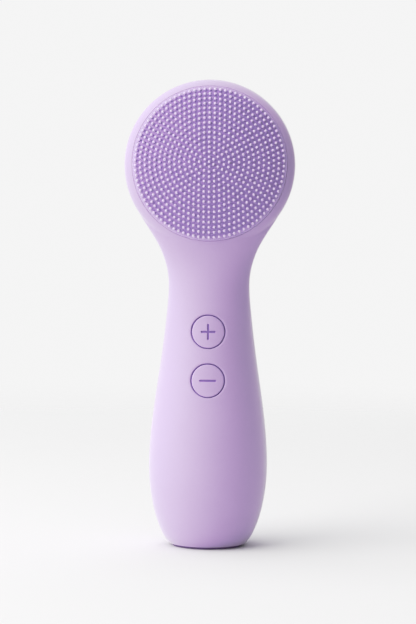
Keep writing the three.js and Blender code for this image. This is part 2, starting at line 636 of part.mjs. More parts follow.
// A thin welded strip across one end of the cell.
const TAB = { halfWidth: 2.2, halfLength: 4, thickness: 0.25, gap: 0.1 };
const batteryTab = (z) => box(
  [-TAB.halfWidth, batteryY - TAB.halfLength, z],
  [TAB.halfWidth, batteryY + TAB.halfLength, z + TAB.thickness],
);
const topTabZ = batteryTop + BATTERY.nippleHeight + TAB.gap;
const bottomTabZ = BATTERY.bottom - TAB.gap - TAB.thickness;

// A soft block that fills the gap behind the cell, so that it doesn't rattle against the rear shell.
const FOAM = { halfWidth: 4, length: 12 };
function batteryFoam() {
  const front = batteryY + BATTERY.radius + CLEARANCE;
  const middle = BATTERY.bottom + BATTERY.length * 0.62;
  const [x, half] = [FOAM.halfWidth, FOAM.length / 2];
  const rear = surfacePoint(x, middle + half, 1).y - WALL_ALONG_Y - CLEARANCE;
  return box([-x, front, middle - half], [x, rear, middle + half]);
}

// ---------------------------------------------------------------- motor, in the head's frame
const motorTop = MOTOR.bottom + MOTOR.length;

function motorCan() {
  const bore = cylinder(MOTOR.shaftRadius + PLAY, motorTop - 3, motorTop + 3, 12);
  const [low, r, edge, nose] = [MOTOR.bottom, MOTOR.radius, 0.8, 2.4];
  const can = turned([[0, low], [r - 0.5, low], [r, low + 0.5], [r, motorTop - edge], [r - edge, motorTop],
    [nose, motorTop], [nose, motorTop + edge], [0, motorTop + edge]], 28);
  return cut(can, bore);
}

const motorEndCap = () => turned([[0, MOTOR.bottom - 1.6], [3, MOTOR.bottom - 1.6], [3.6, MOTOR.bottom - 1],
  [4.6, MOTOR.bottom - 1], [4.6, MOTOR.bottom - 0.2], [0, MOTOR.bottom - 0.2]], SMALL_ROUND);

function eccentricWeight() {
  const [low, high] = [motorTop + WEIGHT.gap, motorTop + WEIGHT.gap + WEIGHT.length];
  const shape = new THREE.Shape();
  shape.absarc(0, 0, WEIGHT.radius, Math.PI, 0);
  shape.absarc(0, 0, WEIGHT.hub, 0, Math.PI);
  const block = extruded(shape, high - low, 14).translate(0, 0, low);
  return cut(block, cylinder(MOTOR.shaftRadius + 0.05, low - 1, high + 1, 12));
}

const motorShaft = () => cylinder(MOTOR.shaftRadius, motorTop - 2.6, motorTop + MOTOR.shaftOut, 12);

const sleeveOuter = MOTOR.radius + CLEARANCE / 2 + SLEEVE;
const cradleMiddle = MOTOR.bottom + MOTOR.length / 2;

function motorSleeve() {
  const [low, high] = [cradleMiddle - 7.5, cradleMiddle + 7.5];
  const inner = MOTOR.radius + CLEARANCE / 2;
  return ringTurned([[inner, low], [sleeveOuter, low], [sleeveOuter, high], [inner, high]], 28);
}

// The saddle that holds the sleeve from behind; -Y is the front, so its open side faces -Y.
function motorCradle() {
  const [low, high] = [cradleMiddle - CRADLE.length / 2, cradleMiddle + CRADLE.length / 2];
  const middle = -MOTOR.depth;
  const block = box([-CRADLE.halfWidth, middle + 0.2, low], [CRADLE.halfWidth, middle + 4.2, high]);
  const back = box([-6.5, middle + 3, low], [6.5, -CRADLE.back, high]);
  const bore = cylinder(sleeveOuter + CLEARANCE / 2, low - 1, high + 1, 28).translate(0, middle, 0);
  return cut(join(block, back), bore, ...screwHolesAt(clampScrewPlaces));
}

const EAR = 1.3; // front face of the strap's ears, from the motor's axis
const SEAT = 0.05; // a screw's head stands this far off what it holds
const clampScrewPlaces = [[-CRADLE.halfWidth + 1.6, cradleMiddle], [CRADLE.halfWidth - 1.6, cradleMiddle]];

// The strap over the front of the sleeve, screwed to the cradle's two ears.
function motorClamp() {
  const [low, high] = [cradleMiddle - 3.5, cradleMiddle + 3.5];
  const middle = -MOTOR.depth;
  const [inner, outer] = [sleeveOuter + CLEARANCE / 2, sleeveOuter + CLEARANCE / 2 + 1];
  const hoop = ringTurned(rectangle(inner, outer, low, high), 28).translate(0, middle, 0);
  const half = cut(hoop, box([-20, middle - 0.1, low - 1], [20, middle + 20, high + 1]));
  const ears = [-1, 1].map((side) => {
    const [a, b] = [side * (inner + 0.2), side * CRADLE.halfWidth].sort((p, q) => p - q);
    return box([a, middle - EAR, low], [b, middle - 0.1, high]);
  });
  return cut(join(half, ...ears), ...screwHolesAt(clampScrewPlaces));
}

// ---------------------------------------------------------------- charging socket and base
function chargeBlock() {
  const block = chargerBar(0, CHARGER.face - CHARGER.depth, CHARGER.face);
  const bore = (side, { radius, pitch }, far) => chargerRod(side, radius + PLAY, pitch, 0, far);
  const pockets = [-1, 1].flatMap((side) =>
    [bore(side, PIN, FAR), bore(side, MAGNET, chargerRear + MAGNET.length + CLEARANCE)]);
  return cut(block, ...pockets);
}

const PIN = { radius: CHARGER.pin, pitch: CHARGER.pitch, out: 0.4 };
const chargerRear = CHARGER.face - CHARGER.depth;

// A round rod along Y, to the left or the right of the charging socket's middle, from y = near to y = far.
const chargerRod = (side, radius, pitch, near, far) =>
  barAlongY(radius, -far, -near, (side * pitch) / 2, CHARGER.height, 16);

const chargePin = (side) => chargerRod(side, PIN.radius, PIN.pitch, chargerRear - PIN.out, CHARGER.face);

const chargeMagnet = (side) =>
  chargerRod(side, MAGNET.radius, MAGNET.pitch, chargerRear + 0.1, chargerRear + 0.1 + MAGNET.length);

function baseCap() {
  const cap = ellipticCylinder(0, SHELL_BOTTOM, SHELL_BOTTOM + BASE_CAP.thickness);
  const holes = baseScrewPlaces.flatMap(([x, y]) => [
    cylinder(SCREW.radius + PLAY, -2, 9, 10).translate(x, y, 0),
    cylinder(SCREW.radius * 1.8 + CLEARANCE, -2, SHELL_BOTTOM + BASE_CAP.counterbore, 12).translate(x, y, 0),
  ]);
  return cut(cap, ...holes);
}

function baseFoot() {
  const radius = halfWidth(SHELL_BOTTOM) - FOOT.inset;
  const edge = 0.25;
  const profile = [[0, 0], [radius - edge, 0], [radius, edge], [radius, FOOT.thickness], [0, FOOT.thickness]];
  return turned(profile, ROUND).scale(1, ROUNDNESS, 1);
}

// ---------------------------------------------------------------- leads inside the housing
const boardEdge = BOARD.width / 2 + CLEARANCE + 0.1;
const boardMiddle = BOARD.front + BOARD.thickness / 2;
const boardRear = BOARD.front + BOARD.thickness + 2 * CLEARANCE;
const motorFoot = new THREE.Vector3(0, -MOTOR.depth, MOTOR.bottom - 1.6 - CLEARANCE).applyMatrix4(headFrame);

const windowTop = chassisTop - WINDOW.belowTop;
const motorLead = (x) => [
  [x, boardRear, windowTop - 6], [x, boardRear + 2.4, windowTop - 3], [x * 1.3, 0.4, chassisTop + 2],
  [x * 1.2, -0.6, (chassisTop + motorFoot.z) / 2], [x, motorFoot.y + 0.3, motorFoot.z - 4],
  [x, motorFoot.y, motorFoot.z],
];

// From the side of a charging pin round the cell to the board's edge.
const chargeLead = (side) => {
  const start = CHARGER.face - CHARGER.depth - 0.4 - WIRE_RADIUS - 0.1;
  const { height } = CHARGER;
  return [
    [side * 3, start, height], [side * 8.3, start - 2.4, height + 0.5], [side * 10.4, batteryY, height + 1.5],
    [side * 11, -1, height + 3], [side * 10.4, boardMiddle, height + 4],
    [side * boardEdge, boardMiddle, height + 4.4],
  ];
};

const batteryTopLead = [
  [3, 5, topTabZ + 0.2], [7.7, 3.6, topTabZ + 1], [8, 2, topTabZ + 3.5],
  [6.9, 0.3, windowBottom + 2], [3.6, -1.4, windowBottom + 4], [3.4, boardRear, windowBottom + 4.1],
];
const batteryBottomLead = [
  [-3, 6, bottomTabZ - 0.6], [-8.4, 3.4, bottomTabZ - 0.4], [-10.8, -1, bottomTabZ + 3],
  [-10.5, boardMiddle, bottomTabZ + 7], [-boardEdge, boardMiddle, bottomTabZ + 8],
];

const LEADS = [
  { name: "motor_lead_1", points: motorLead(-1.5), material: "redWire" },
  { name: "motor_lead_2", points: motorLead(1.5), material: "blueWire" },
  { name: "battery_lead_positive", points: batteryTopLead, material: "redWire" },
  { name: "battery_lead_negative", points: batteryBottomLead, material: "blackWire" },
  { name: "charge_lead_1", points: chargeLead(-1), material: "blackWire" },
  { name: "charge_lead_2", points: chargeLead(1), material: "redWire" },
];

// ---------------------------------------------------------------- assembly
const brush = new THREE.Group();
const head = new THREE.Group();
head.position.set(0, HEAD_Y, HEAD_Z);
head.rotation.x = -HEAD_TILT;
brush.add(head);

function place(parent, name, geometry, material) {
  const mesh = new THREE.Mesh(geometry, material);
  mesh.name = name;
  parent.add(mesh);
  return mesh;
}

// A piece made about +Z in the pad's own axis, which points out of the face.
const placeOnFace = (name, geometry, material) => place(head, name, facingFront(geometry), material);

place(brush, "front_shell", frontShell(), FINISHES.housing);
place(brush, "rear_shell", rearShell(), FINISHES.housing);
place(brush, "seam_seal", seamSeal(), FINISHES.rubber);

placeOnFace("bristle_pad", bristlePad(), FINISHES.pad);
placeOnFace("pad_carrier", padCarrier(), FINISHES.innerPlastic);
placeOnFace("pad_seal", padSeal(), FINISHES.rubber);
screwPlaces.forEach(([x, z], i) => {
  const shape = screw(SCREW.radius, LEDGE_THICKNESS + CLEARANCE + 0.8).rotateX(Math.PI);
  const piece = placeOnFace(`carrier_screw_${i + 1}`, shape, FINISHES.steel);
  piece.position.set(x, LEDGE_THICKNESS + SEAT - LEDGE_TOP, z);
});

const motor = new THREE.Group();
motor.position.y = -MOTOR.depth;
head.add(motor);
place(motor, "motor_can", motorCan(), FINISHES.steel);
place(motor, "motor_end_cap", motorEndCap(), FINISHES.switchBlack);
place(motor, "motor_shaft", motorShaft(), FINISHES.steel);
place(motor, "eccentric_weight", eccentricWeight(), FINISHES.gold);
place(motor, "motor_sleeve", motorSleeve(), FINISHES.rubber);
place(head, "motor_cradle", motorCradle(), FINISHES.innerPlastic);
place(head, "motor_clamp", motorClamp(), FINISHES.steel);
clampScrewPlaces.forEach(([x, z], i) => {
  const piece = placeOnFace(`clamp_screw_${i + 1}`, screw(SCREW.radius, SCREW.length), FINISHES.steel);
  piece.position.set(x, -MOTOR.depth - EAR - SEAT, z);
});

const flatStroke = [SYMBOL.length, SYMBOL.stroke];
const uprightStroke = [SYMBOL.stroke, SYMBOL.length];
place(brush, "plus_button", buttonCap(BUTTON_HEIGHTS.plus, [flatStroke, uprightStroke]), FINISHES.button);
place(brush, "minus_button", buttonCap(BUTTON_HEIGHTS.minus, [flatStroke]), FINISHES.button);
place(brush, "button_gasket", buttonGasket(), FINISHES.rubber);
for (const [name, height] of Object.entries(BUTTON_HEIGHTS)) {
  place(brush, `${name}_switch`, switchBody(height), FINISHES.switchBlack);
  place(brush, `${name}_switch_plunger`, switchPlunger(height), FINISHES.innerPlastic);
}
place(brush, "circuit_board", circuitBoard(), FINISHES.board);
place(brush, "controller_chip", chip(0, 45, 6, 9, 1.5, 7), FINISHES.chip);
place(brush, "charger_chip", chip(0.5, 28, 4, 4.8, 1.3, 4), FINISHES.chip);
place(brush, "status_led", statusLed(), FINISHES.led);
boardScrewPlaces.forEach(([x, z], i) => {
  const piece = place(brush, `board_screw_${i + 1}`, facingFront(screw(SCREW.radius, 3.4)), FINISHES.steel);
  piece.position.set(x, BOARD.front - SEAT, z);
});

place(brush, "chassis", chassis(), FINISHES.innerPlastic);
place(brush, "battery_cell", batteryCell(), FINISHES.battery);
place(brush, "battery_top_tab", batteryTab(topTabZ), FINISHES.steel);
place(brush, "battery_bottom_tab", batteryTab(bottomTabZ), FINISHES.steel);
place(brush, "battery_foam", batteryFoam(), FINISHES.foam);
for (const { name, points, material } of LEADS) place(brush, name, wire(points), FINISHES[material]);

place(brush, "charge_block", chargeBlock(), FINISHES.switchBlack);
[-1, 1].forEach((side, i) => {
  place(brush, `charge_pin_${i + 1}`, chargePin(side), FINISHES.gold);
  place(brush, `charge_magnet_${i + 1}`, chargeMagnet(side), FINISHES.magnet);
});
place(brush, "base_cap", baseCap(), FINISHES.innerPlastic);
place(brush, "base_foot", baseFoot(), FINISHES.foot);
baseScrewPlaces.forEach(([x, y], i) => {
  const shape = screw(SCREW.radius, SCREW.length - 1).rotateX(Math.PI);
  const piece = place(brush, `base_screw_${i + 1}`, shape, FINISHES.steel);
  piece.position.set(x, y, SHELL_BOTTOM + BASE_CAP.counterbore - SEAT);
});

export default brush;
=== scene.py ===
"""A cordless facial cleansing brush that stands on its base: the housing with its openings, the
buttons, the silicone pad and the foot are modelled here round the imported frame, and every inner part gets
a material of its own.
Shapes are worked out in millimetres, +Z up, the front facing -Y, and turned into metres by piece()."""

import json

import bpy
import numpy as np
from mathutils import Matrix, Vector


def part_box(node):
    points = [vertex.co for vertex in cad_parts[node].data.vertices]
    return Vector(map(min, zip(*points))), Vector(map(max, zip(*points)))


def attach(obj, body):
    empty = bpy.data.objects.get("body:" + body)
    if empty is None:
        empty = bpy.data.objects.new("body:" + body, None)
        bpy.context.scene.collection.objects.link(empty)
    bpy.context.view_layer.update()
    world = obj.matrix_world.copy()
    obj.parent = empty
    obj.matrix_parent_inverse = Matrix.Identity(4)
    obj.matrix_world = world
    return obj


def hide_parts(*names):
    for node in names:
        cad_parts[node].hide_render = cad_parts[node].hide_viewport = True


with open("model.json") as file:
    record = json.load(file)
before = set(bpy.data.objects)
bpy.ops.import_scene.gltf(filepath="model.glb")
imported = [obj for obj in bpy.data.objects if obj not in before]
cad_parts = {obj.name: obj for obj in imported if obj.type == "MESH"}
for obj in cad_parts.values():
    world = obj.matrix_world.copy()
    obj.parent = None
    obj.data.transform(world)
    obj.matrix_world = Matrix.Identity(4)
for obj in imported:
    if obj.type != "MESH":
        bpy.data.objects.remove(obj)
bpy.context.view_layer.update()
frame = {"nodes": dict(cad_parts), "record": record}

MM = 0.001

# ---------------------------------------------------------------- sizes, in millimetres
HEAD_RADIUS = 29.85
HEAD_Z = 134.3
HEAD_Y = -6.5
HEAD_TILT = np.radians(3.0)
HEAD_FRONT = 9.2
HEAD_REAR = 15.0
LENS_POWER = 2.5
JOIN_ANGLE = np.radians(-36.0)
ROUNDNESS = 0.9
BLEND_POWER = 8.0
HANDLE_LENGTH = HEAD_Z - HEAD_RADIUS
# The handle's outline: height as a share of the handle's length, and half width.
HANDLE_OUTLINE = [
    (-0.014, 10.6), (0.008, 13.5), (0.038, 15.9), (0.105, 18.6), (0.191, 20.4), (0.277, 20.95), (0.382, 20.4),
    (0.506, 18.85), (0.63, 16.95), (0.763, 15.2), (0.878, 14.2), (0.945, 14.9), (1.016, 17.6),
]
LEAN_START = 0.63
NECK_STARTS = [0.763, 0.878]
NECK_FRONT_LINE = [(0.954, -12.45), (1.03, -12.9), (1.088, -12.4), (1.145, -10.5), (1.212, -8.2)]
NECK_REAR_LINE = [(0.973, 11.6), (1.069, 8.9), (1.164, 5.0), (1.26, 0.0)]
WALL = 1.8
SEAM_GAP = 0.16
SHELL_BOTTOM = 0.8
EDGE = 0.35  # radius of the moulded edges round the openings

PAD_RADIUS = 26.9
PAD_OPENING = 26.94
PAD_RIM_EDGE = 0.16  # radius of the moulded edge round the pad
PAD_EDGE = 5.2
PAD_DOME = 4.4
PAD_FOOT = 3.9
MEMBRANE = 1.4
PAD_ROUND = 0.2  # radius of the membrane's edge
PAD_POLE = 0.6  # the innermost ring of the membrane
PAD_STEPS = 240
PAD_FRONT_RINGS = 26
PAD_BACK_RINGS = 20
PAD_EDGE_GAP = 0.4  # from the last ring of the dome to its rounded edge
LEDGE_TOP = 2.7
LEDGE_THICKNESS = 1.6
LEDGE_INNER = 22.25

BUTTON_RADIUS = 5.6
BUTTON_HOLE = 5.95
BUTTON_HEIGHTS = {"plus": 76.2, "minus": 59.35}
SYMBOLS = {"plus": [(2.2, 0.0), (0.0, 2.4)], "minus": [(2.55, 0.0)]}  # strokes' middle lines, half lengths
SYMBOL_STROKE = 0.36  # half width
SYMBOL_DEPTH = 0.3
FLANGE_RADIUS = 6.5
FLANGE_THICKNESS = 0.8
STEM_RADIUS = 1.5

SOCKET_Z = 27.0
SOCKET_HALF = 4.5  # half length of the straight part
SOCKET_RADIUS = 4.3

CROWN_CELLS = 104
STROKE_FADE = 0.1  # a stroke's floor rises to the crown over this far each side of its edge
STROKE_PAINT = 0.8  # how far the paint in the strokes goes to the painted colour
FLANGE_SETBACK = 1.2 * WALL + 0.3  # from the housing's skin back to the flange's front
LIP_GAP = 0.06  # left between the button's lip and its hole
LIP_DEPTHS = (0.5, 0.9)  # the lip's front and rear, behind the crown
# The button's lip in the ring gap, a shallow floor painted dark purple as painted shade in the gap: radius,
# and how far behind the crown's own surface.
LIP_STEPS = [
    (BUTTON_RADIUS, LIP_DEPTHS[0]), (BUTTON_HOLE - LIP_GAP, LIP_DEPTHS[0]),
    (BUTTON_HOLE - LIP_GAP, LIP_DEPTHS[1]), (BUTTON_RADIUS, LIP_DEPTHS[1]),
]

BRISTLE_RINGS = 15
BRISTLE_PITCH = 1.715
BRISTLE_SIDES = 8
# A bristle's radius and its height over the membrane.
BRISTLE_PROFILE = [
    (0.68, -0.1), (0.55, 0.12), (0.5, 0.42), (0.48, 0.8), (0.45, 1.02), (0.32, 1.2), (0.14, 1.28),
]
BRISTLE_LENGTH = 1.29
BARE_PAINTED_LIGHT = 0.35  # painted light: how light the membrane's bare edge is painted, between the valleys' painted shade at 0 and the tips' painted highlight at 1
BARE_START = 0.3  # the bare edge's paint begins this far inside the outermost ring
BARE_FADE = 0.9

FOOT_EDGE = 0.25
FOOT_RING = 0.25  # depth of the shallow middle of the foot's underside
FOOT_TOP_EDGE = 0.1
FOOT_STEPS = 160


# ---------------------------------------------------------------- the housing's outer surface
def through(table, z):
    """Cubic pieces through the table's (height, value) points; the slope at a point is that of the chord
    across its two neighbours, and at an end that of the chord to its neighbour."""
    heights, values = np.array(table, float).T
    last = len(heights) - 1
    i = np.clip(np.searchsorted(heights, z, side="left") - 1, 0, last - 1)
    low = np.maximum(np.arange(last + 1) - 1, 0)
    high = np.minimum(np.arange(last + 1) + 1, last)
    slopes = (values[high] - values[low]) / (heights[high] - heights[low])
    span = heights[i + 1] - heights[i]
    t = (z - heights[i]) / span
    return (
        (2 * t**3 - 3 * t**2 + 1) * values[i]
        + (t**3 - 2 * t**2 + t) * span * slopes[i]
        + (3 * t**2 - 2 * t**3) * values[i + 1]
        + (t**3 - t**2) * span * slopes[i + 1]
    )


def smooth(t):
    """3t^2 - 2t^3, with t held between 0 and 1."""
    t = np.clip(t, 0.0, 1.0)
    return t * t * (3 - 2 * t)


def on_circle(angle):
    """Height and half width of the head's circle, seen upright, at an angle from its middle."""
    return (
        HEAD_Z + HEAD_RADIUS * np.sin(angle) * np.cos(HEAD_TILT),
        HEAD_RADIUS * np.cos(angle),
    )


def at_heights(table):
    """A table whose heights are shares of the handle's length, in millimetres."""
    return [(share * HANDLE_LENGTH, value) for share, value in table]


JOIN_Z = on_circle(JOIN_ANGLE)[0]
OUTLINE = at_heights(HANDLE_OUTLINE) + [on_circle(JOIN_ANGLE), on_circle(0.6 * JOIN_ANGLE)]
LEAN_Z = LEAN_START * HANDLE_LENGTH


def along_head(z):
    """Distance from the head's middle up its tilted plane, for a height on that plane."""
    return (z - HEAD_Z) / np.cos(HEAD_TILT)


def head_plane_y(z):
    """Where the head's tilted middle plane lies, front to rear, at a height."""
    return HEAD_Y + along_head(z) * np.sin(HEAD_TILT)


def half_width(z):
    """The outline's curve below the join, and the head's circle above it."""
    z = np.asarray(z, float)
    circle = np.sqrt(np.maximum(HEAD_RADIUS**2 - along_head(z) ** 2, 0.0))
    return np.where(z <= JOIN_Z, through(OUTLINE, z), circle)


def seam_y(z):
    """The side seam: upright in the handle, in the head's tilted plane above the join, and a cubic curve
    with both slopes in between."""
    s = np.clip((z - LEAN_Z) / (JOIN_Z - LEAN_Z), 0.0, 1.0)
    between = head_plane_y(JOIN_Z) * (3 * s**2 - 2 * s**3)
    between = between + (s**3 - s**2) * (JOIN_Z - LEAN_Z) * np.tan(HEAD_TILT)
    return np.where(z >= JOIN_Z, head_plane_y(z), between)


def lean_at(z):
    """The lean of the middle plane: none in the handle, a smooth step up to the head's tilt at the join."""
    return HEAD_TILT * smooth((z - LEAN_Z) / (JOIN_Z - LEAN_Z))


def neck_line(side, beyond):
    """The middle line of the neck's front or rear: the outline times the roundness, then the table."""
    start = [share * HANDLE_LENGTH for share in NECK_STARTS]
    return [(z, side * ROUNDNESS * float(half_width(z))) for z in start] + at_heights(beyond)


LINES = {-1.0: neck_line(-1.0, NECK_FRONT_LINE), 1.0: neck_line(1.0, NECK_REAR_LINE)}


def depth_at(x, z, side):
    """The handle's depth is an ellipse across, and the head's is (1 - reach^p)^(1/p) of its full depth;
    the two run into each other as (handle^8 + dome^8)^(1/8)."""
    line = LINES[side]
    middle = np.where(z < line[-1][0], through(line, z), seam_y(z))
    middle = np.where(z <= line[0][0], side * ROUNDNESS * half_width(z), middle)
    across = np.sqrt(np.maximum(1 - (x / np.maximum(half_width(z), 1e-6)) ** 2, 0.0))
    handle = np.maximum(side * (middle - seam_y(z)), 0.0) * across
    reach = np.minimum(np.hypot(x, along_head(z)) / HEAD_RADIUS, 1.0)
    full = HEAD_FRONT if side < 0 else HEAD_REAR
    dome = full * np.maximum(1 - reach**LENS_POWER, 0.0) ** (1 / LENS_POWER)
    return (handle**BLEND_POWER + dome**BLEND_POWER) ** (1 / BLEND_POWER)


def surface(x, z, side):
    """Points of the housing's skin: the depth is measured from the seam, square to the leaning middle."""
    x, z = np.broadcast_arrays(np.asarray(x, float), np.asarray(z, float))
    depth, lean = depth_at(x, z, side), lean_at(z)
    y = seam_y(z) + side * depth * np.cos(lean)
    return np.stack([x, y, z - side * depth * np.sin(lean)], -1)


UP = np.array([0.0, np.sin(HEAD_TILT), np.cos(HEAD_TILT)])
AHEAD = np.array([0.0, -np.cos(HEAD_TILT), np.sin(HEAD_TILT)])
HEAD_CENTRE = np.array([0.0, HEAD_Y, HEAD_Z])
HEAD_ROUNDS = 6


def from_head(x, up, ahead):
    """A point given across, up and ahead of the head's middle."""
    x, up, ahead = np.broadcast_arrays(x, up, ahead)
    return HEAD_CENTRE + np.stack([x, 0 * x, 0 * x], -1) + up[..., None] * UP + ahead[..., None] * AHEAD


def height_for(x, target, side, rounds=4):
    """The surface's own height value whose point lies at a wanted height, found by adding what is missing
    in a few rounds."""
    z = np.array(target, float)
    for _ in range(rounds):
        z = z + (target - surface(x, z, side)[..., 2])
    return z


def height_on_head(x, up, side):
    """The same for a wanted distance up the head's tilted plane. Also returns the plain first value."""
    plain = HEAD_Z + up * np.cos(HEAD_TILT)
    z = plain
    for _ in range(HEAD_ROUNDS):
        found = (surface(x, z, side) - HEAD_CENTRE) @ UP
        z = z + (up - found) * np.cos(HEAD_TILT)
    return z, plain


def skin_normals(x, z, side):
    """Outward normals from the differences of the surface over a small step each way."""
    step = 0.02
    dx = surface(x + step, z, side) - surface(x - step, z, side)
    dz = surface(x, z + step, side) - surface(x, z - step, side)
    n = np.cross(dx, dz)
    n *= np.where(n[..., 1:2] * side < 0, -1.0, 1.0)
    return n / np.linalg.norm(n, axis=-1, keepdims=True)


# ---------------------------------------------------------------- meshes
def piece(name, shape, material, body, replaced=(), paint=None, sharp=35.0):
    """Makes a mesh object from points in millimetres and faces, shaded smooth but for its sharp edges.
    Paint is a value for each point, kept as the attribute of that name."""
    points, faces = shape
    mesh = bpy.data.meshes.new(name)
    faces = np.asarray(faces)
    mesh.vertices.add(len(points))
    mesh.vertices.foreach_set("co", (np.asarray(points) * MM).astype(np.float32).ravel())
    flat = faces.ravel()
    keep = np.ones(len(flat), bool)
    if faces.shape[1] == 4:  # a quad whose last two corners are the same is a triangle
        keep.reshape(-1, 4)[:, 3] = faces[:, 3] != faces[:, 2]
    counts = keep.reshape(len(faces), -1).sum(1)
    mesh.loops.add(int(keep.sum()))
    mesh.loops.foreach_set("vertex_index", flat[keep].astype(np.int32))
    mesh.polygons.add(len(faces))
    starts = np.concatenate([[0], np.cumsum(counts)[:-1]])
    mesh.polygons.foreach_set("loop_start", starts.astype(np.int32))
    mesh.update(calc_edges=True)
    mesh.validate()
    mesh.shade_smooth()
    mesh.set_sharp_from_angle(angle=np.radians(sharp))
    if paint is not None:
        mesh.attributes.new("paint", "FLOAT", "POINT").data.foreach_set("value", paint.astype(np.float32))
    mesh.materials.append(material)
    obj = bpy.data.objects.new(name, mesh)
    bpy.context.scene.collection.objects.link(obj)
    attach(obj, body)
    if replaced:
        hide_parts(*replaced)
    return obj


def grid_faces(index, wrap=False):
    """Quads between neighbouring rows and columns of an index array; wrap joins the last column to the
    first."""
    if wrap:
        index = np.concatenate([index, index[:, :1]], 1)
    a, b = index[:-1, :-1], index[:-1, 1:]
    c, d = index[1:, 1:], index[1:, :-1]
    return np.stack([a, b, c, d], -1).reshape(-1, 4)


def fan(loop, centre):
    """Triangles from a loop of indices to one point, written as quads with a doubled corner."""
    nxt = np.roll(loop, -1)
    middle = np.full(len(loop), centre)
    return np.stack([loop, nxt, middle, middle], -1)


def flipped(faces):
    """Faces the other way round; a doubled corner stays last."""
    return faces[:, [1, 0, 3, 2]]


def edges_of(faces):
    """The edges of quads as pairs of corners, without those of doubled corners."""
    edges = np.concatenate([faces[:, [k, (k + 1) % 4]] for k in range(4)])
    return edges[edges[:, 0] != edges[:, 1]]


def closed(points, groups):
    """Joins groups of faces: each is turned so that the edges it shares with those before it run the other
    way, and then all are turned outwards if the volume that they close comes out negative."""
    points = np.asarray(points)
    done = groups[0]
    weight = np.array([len(points) + 1, 1])
    for group in groups[1:]:
        known, own = edges_of(done) @ weight, edges_of(group)
        if np.isin(own @ weight, known).sum() > np.isin(own[:, ::-1] @ weight, known).sum():
            group = flipped(group)
        done = np.concatenate([done, group])
    used, done = np.unique(done, return_inverse=True)
    points, done = points[used], done.reshape(-1, 4)
    p = points[done]
    volume = np.einsum("ij,ij->", p[:, 0], np.cross(p[:, 1], p[:, 2]) + np.cross(p[:, 2], p[:, 3]))
    return points, done if volume > 0 else flipped(done)


def slot_ring(half, radius, across, down):
    """Points round a slot with round ends, from places on the edge of a square: the top and bottom of the
    square follow the straight parts and half of each round end, and its sides the rest of the ends.
    With half = 0 it is a circle."""
    on_top = np.abs(down) >= np.abs(across)
    quarter = radius * np.pi / 4
    run = (across + 1) / 2 * (2 * half + 2 * quarter)
    left, right = np.clip(run, 0, quarter), np.clip(run - quarter - 2 * half, 0, quarter)
    angle_top = np.radians(135) - (left + right) / radius
    centre_top = -half + np.clip(run - quarter, 0, 2 * half)
    angle_side = np.radians(45) * down
    x_top, z_top = centre_top + radius * np.cos(angle_top), radius * np.sin(angle_top)
    x_side, z_side = half + radius * np.cos(angle_side), radius * np.sin(angle_side)
    x = np.where(on_top, x_top, np.sign(across) * x_side)
    z = np.where(on_top, np.sign(down) * z_top, z_side)
    return x, z


# ---------------------------------------------------------------- the two housing shells
ROUND_STEPS = 288  # steps round the head
CORNER = 38  # steps from the horizontal down to where the handle's grid starts
HEAD_RINGS = 16
REAR_CAP = 25.0  # radius of the rear's middle, which is a grid of its own
RIM_START = {-1.0: PAD_OPENING + PAD_RIM_EDGE, 1.0: REAR_CAP}
ARC_MIDDLE = 28.9  # how far under the head's middle the arc across the neck lies
CORNER_ANGLE = -CORNER * 2 * np.pi / ROUND_STEPS
NECK_LOOK = (60, 400)  # the neck's outline is looked up from this height, at this many places
ACROSS = ROUND_STEPS // 2 - 2 * CORNER
HANDLE_ROWS = 150
ROW_WAVE = 0.035  # draws the handle's rows closer together near its middle
SAG_FADE = 42.0  # the rows' sag is gone this far under the arc
SPREAD_FADE = 30.0  # and the columns are evenly spread
HOLE_SPREAD = 0.92  # growth of the rings of grid lines round an opening, in rows
STRAIGHT_FADE = 4.0  # from an opening out to where the lining follows the normals
LEAST_SQUARE = 0.3  # holds the straight wall's depth where the skin turns away


def head_grid(side):
    """Rings from a circle in the head out to its seam, and below it to an arc across the neck. Reach along
    a ray is sin(phi)^(2/p), which spaces the rings evenly over the rounded rim."""
    theta = np.arange(ROUND_STEPS) * 2 * np.pi / ROUND_STEPS
    z = np.linspace(NECK_LOOK[0], JOIN_Z, NECK_LOOK[1])
    polar = np.arctan2(along_head(z), half_width(z))
    radius = np.hypot(half_width(z), along_head(z))
    folded = np.where(np.cos(theta) < 0, np.pi - theta, theta)
    folded = np.where(folded > np.pi, folded - 2 * np.pi, folded)
    outer = np.where(folded > JOIN_ANGLE, HEAD_RADIUS, np.interp(folded, polar, radius))
    corner_radius = np.interp(CORNER_ANGLE, polar, radius)
    share = (CORNER_ANGLE - folded) / (np.pi / 2 + CORNER_ANGLE)
    low_arc = ARC_MIDDLE + (corner_radius - ARC_MIDDLE) * np.clip(1 - share, 0, 1) ** 2
    outer = np.where(folded < CORNER_ANGLE - 1e-9, low_arc, outer)
    start = RIM_START[side]
    phi_start = np.arcsin((start / HEAD_RADIUS) ** (LENS_POWER / 2))
    phi = np.linspace(phi_start, np.pi / 2, HEAD_RINGS + 1)
    reach = np.sin(phi) ** (2 / LENS_POWER)
    share = (reach - reach[0]) / (1 - reach[0])
    rho = start + share[:, None] * (outer - start)[None, :]
    x, up = rho * np.cos(theta), rho * np.sin(theta)
    fitted, plain = height_on_head(x, up, side)
    hold = smooth(2 * (1 - np.linspace(0, 1, HEAD_RINGS + 1)))[:, None]
    z = plain + (fitted - plain) * hold
    on_seam = folded >= CORNER_ANGLE - 1e-9
    x[-1, on_seam] = np.sign(np.cos(theta[on_seam])) * half_width(z[-1, on_seam])
    return x, z


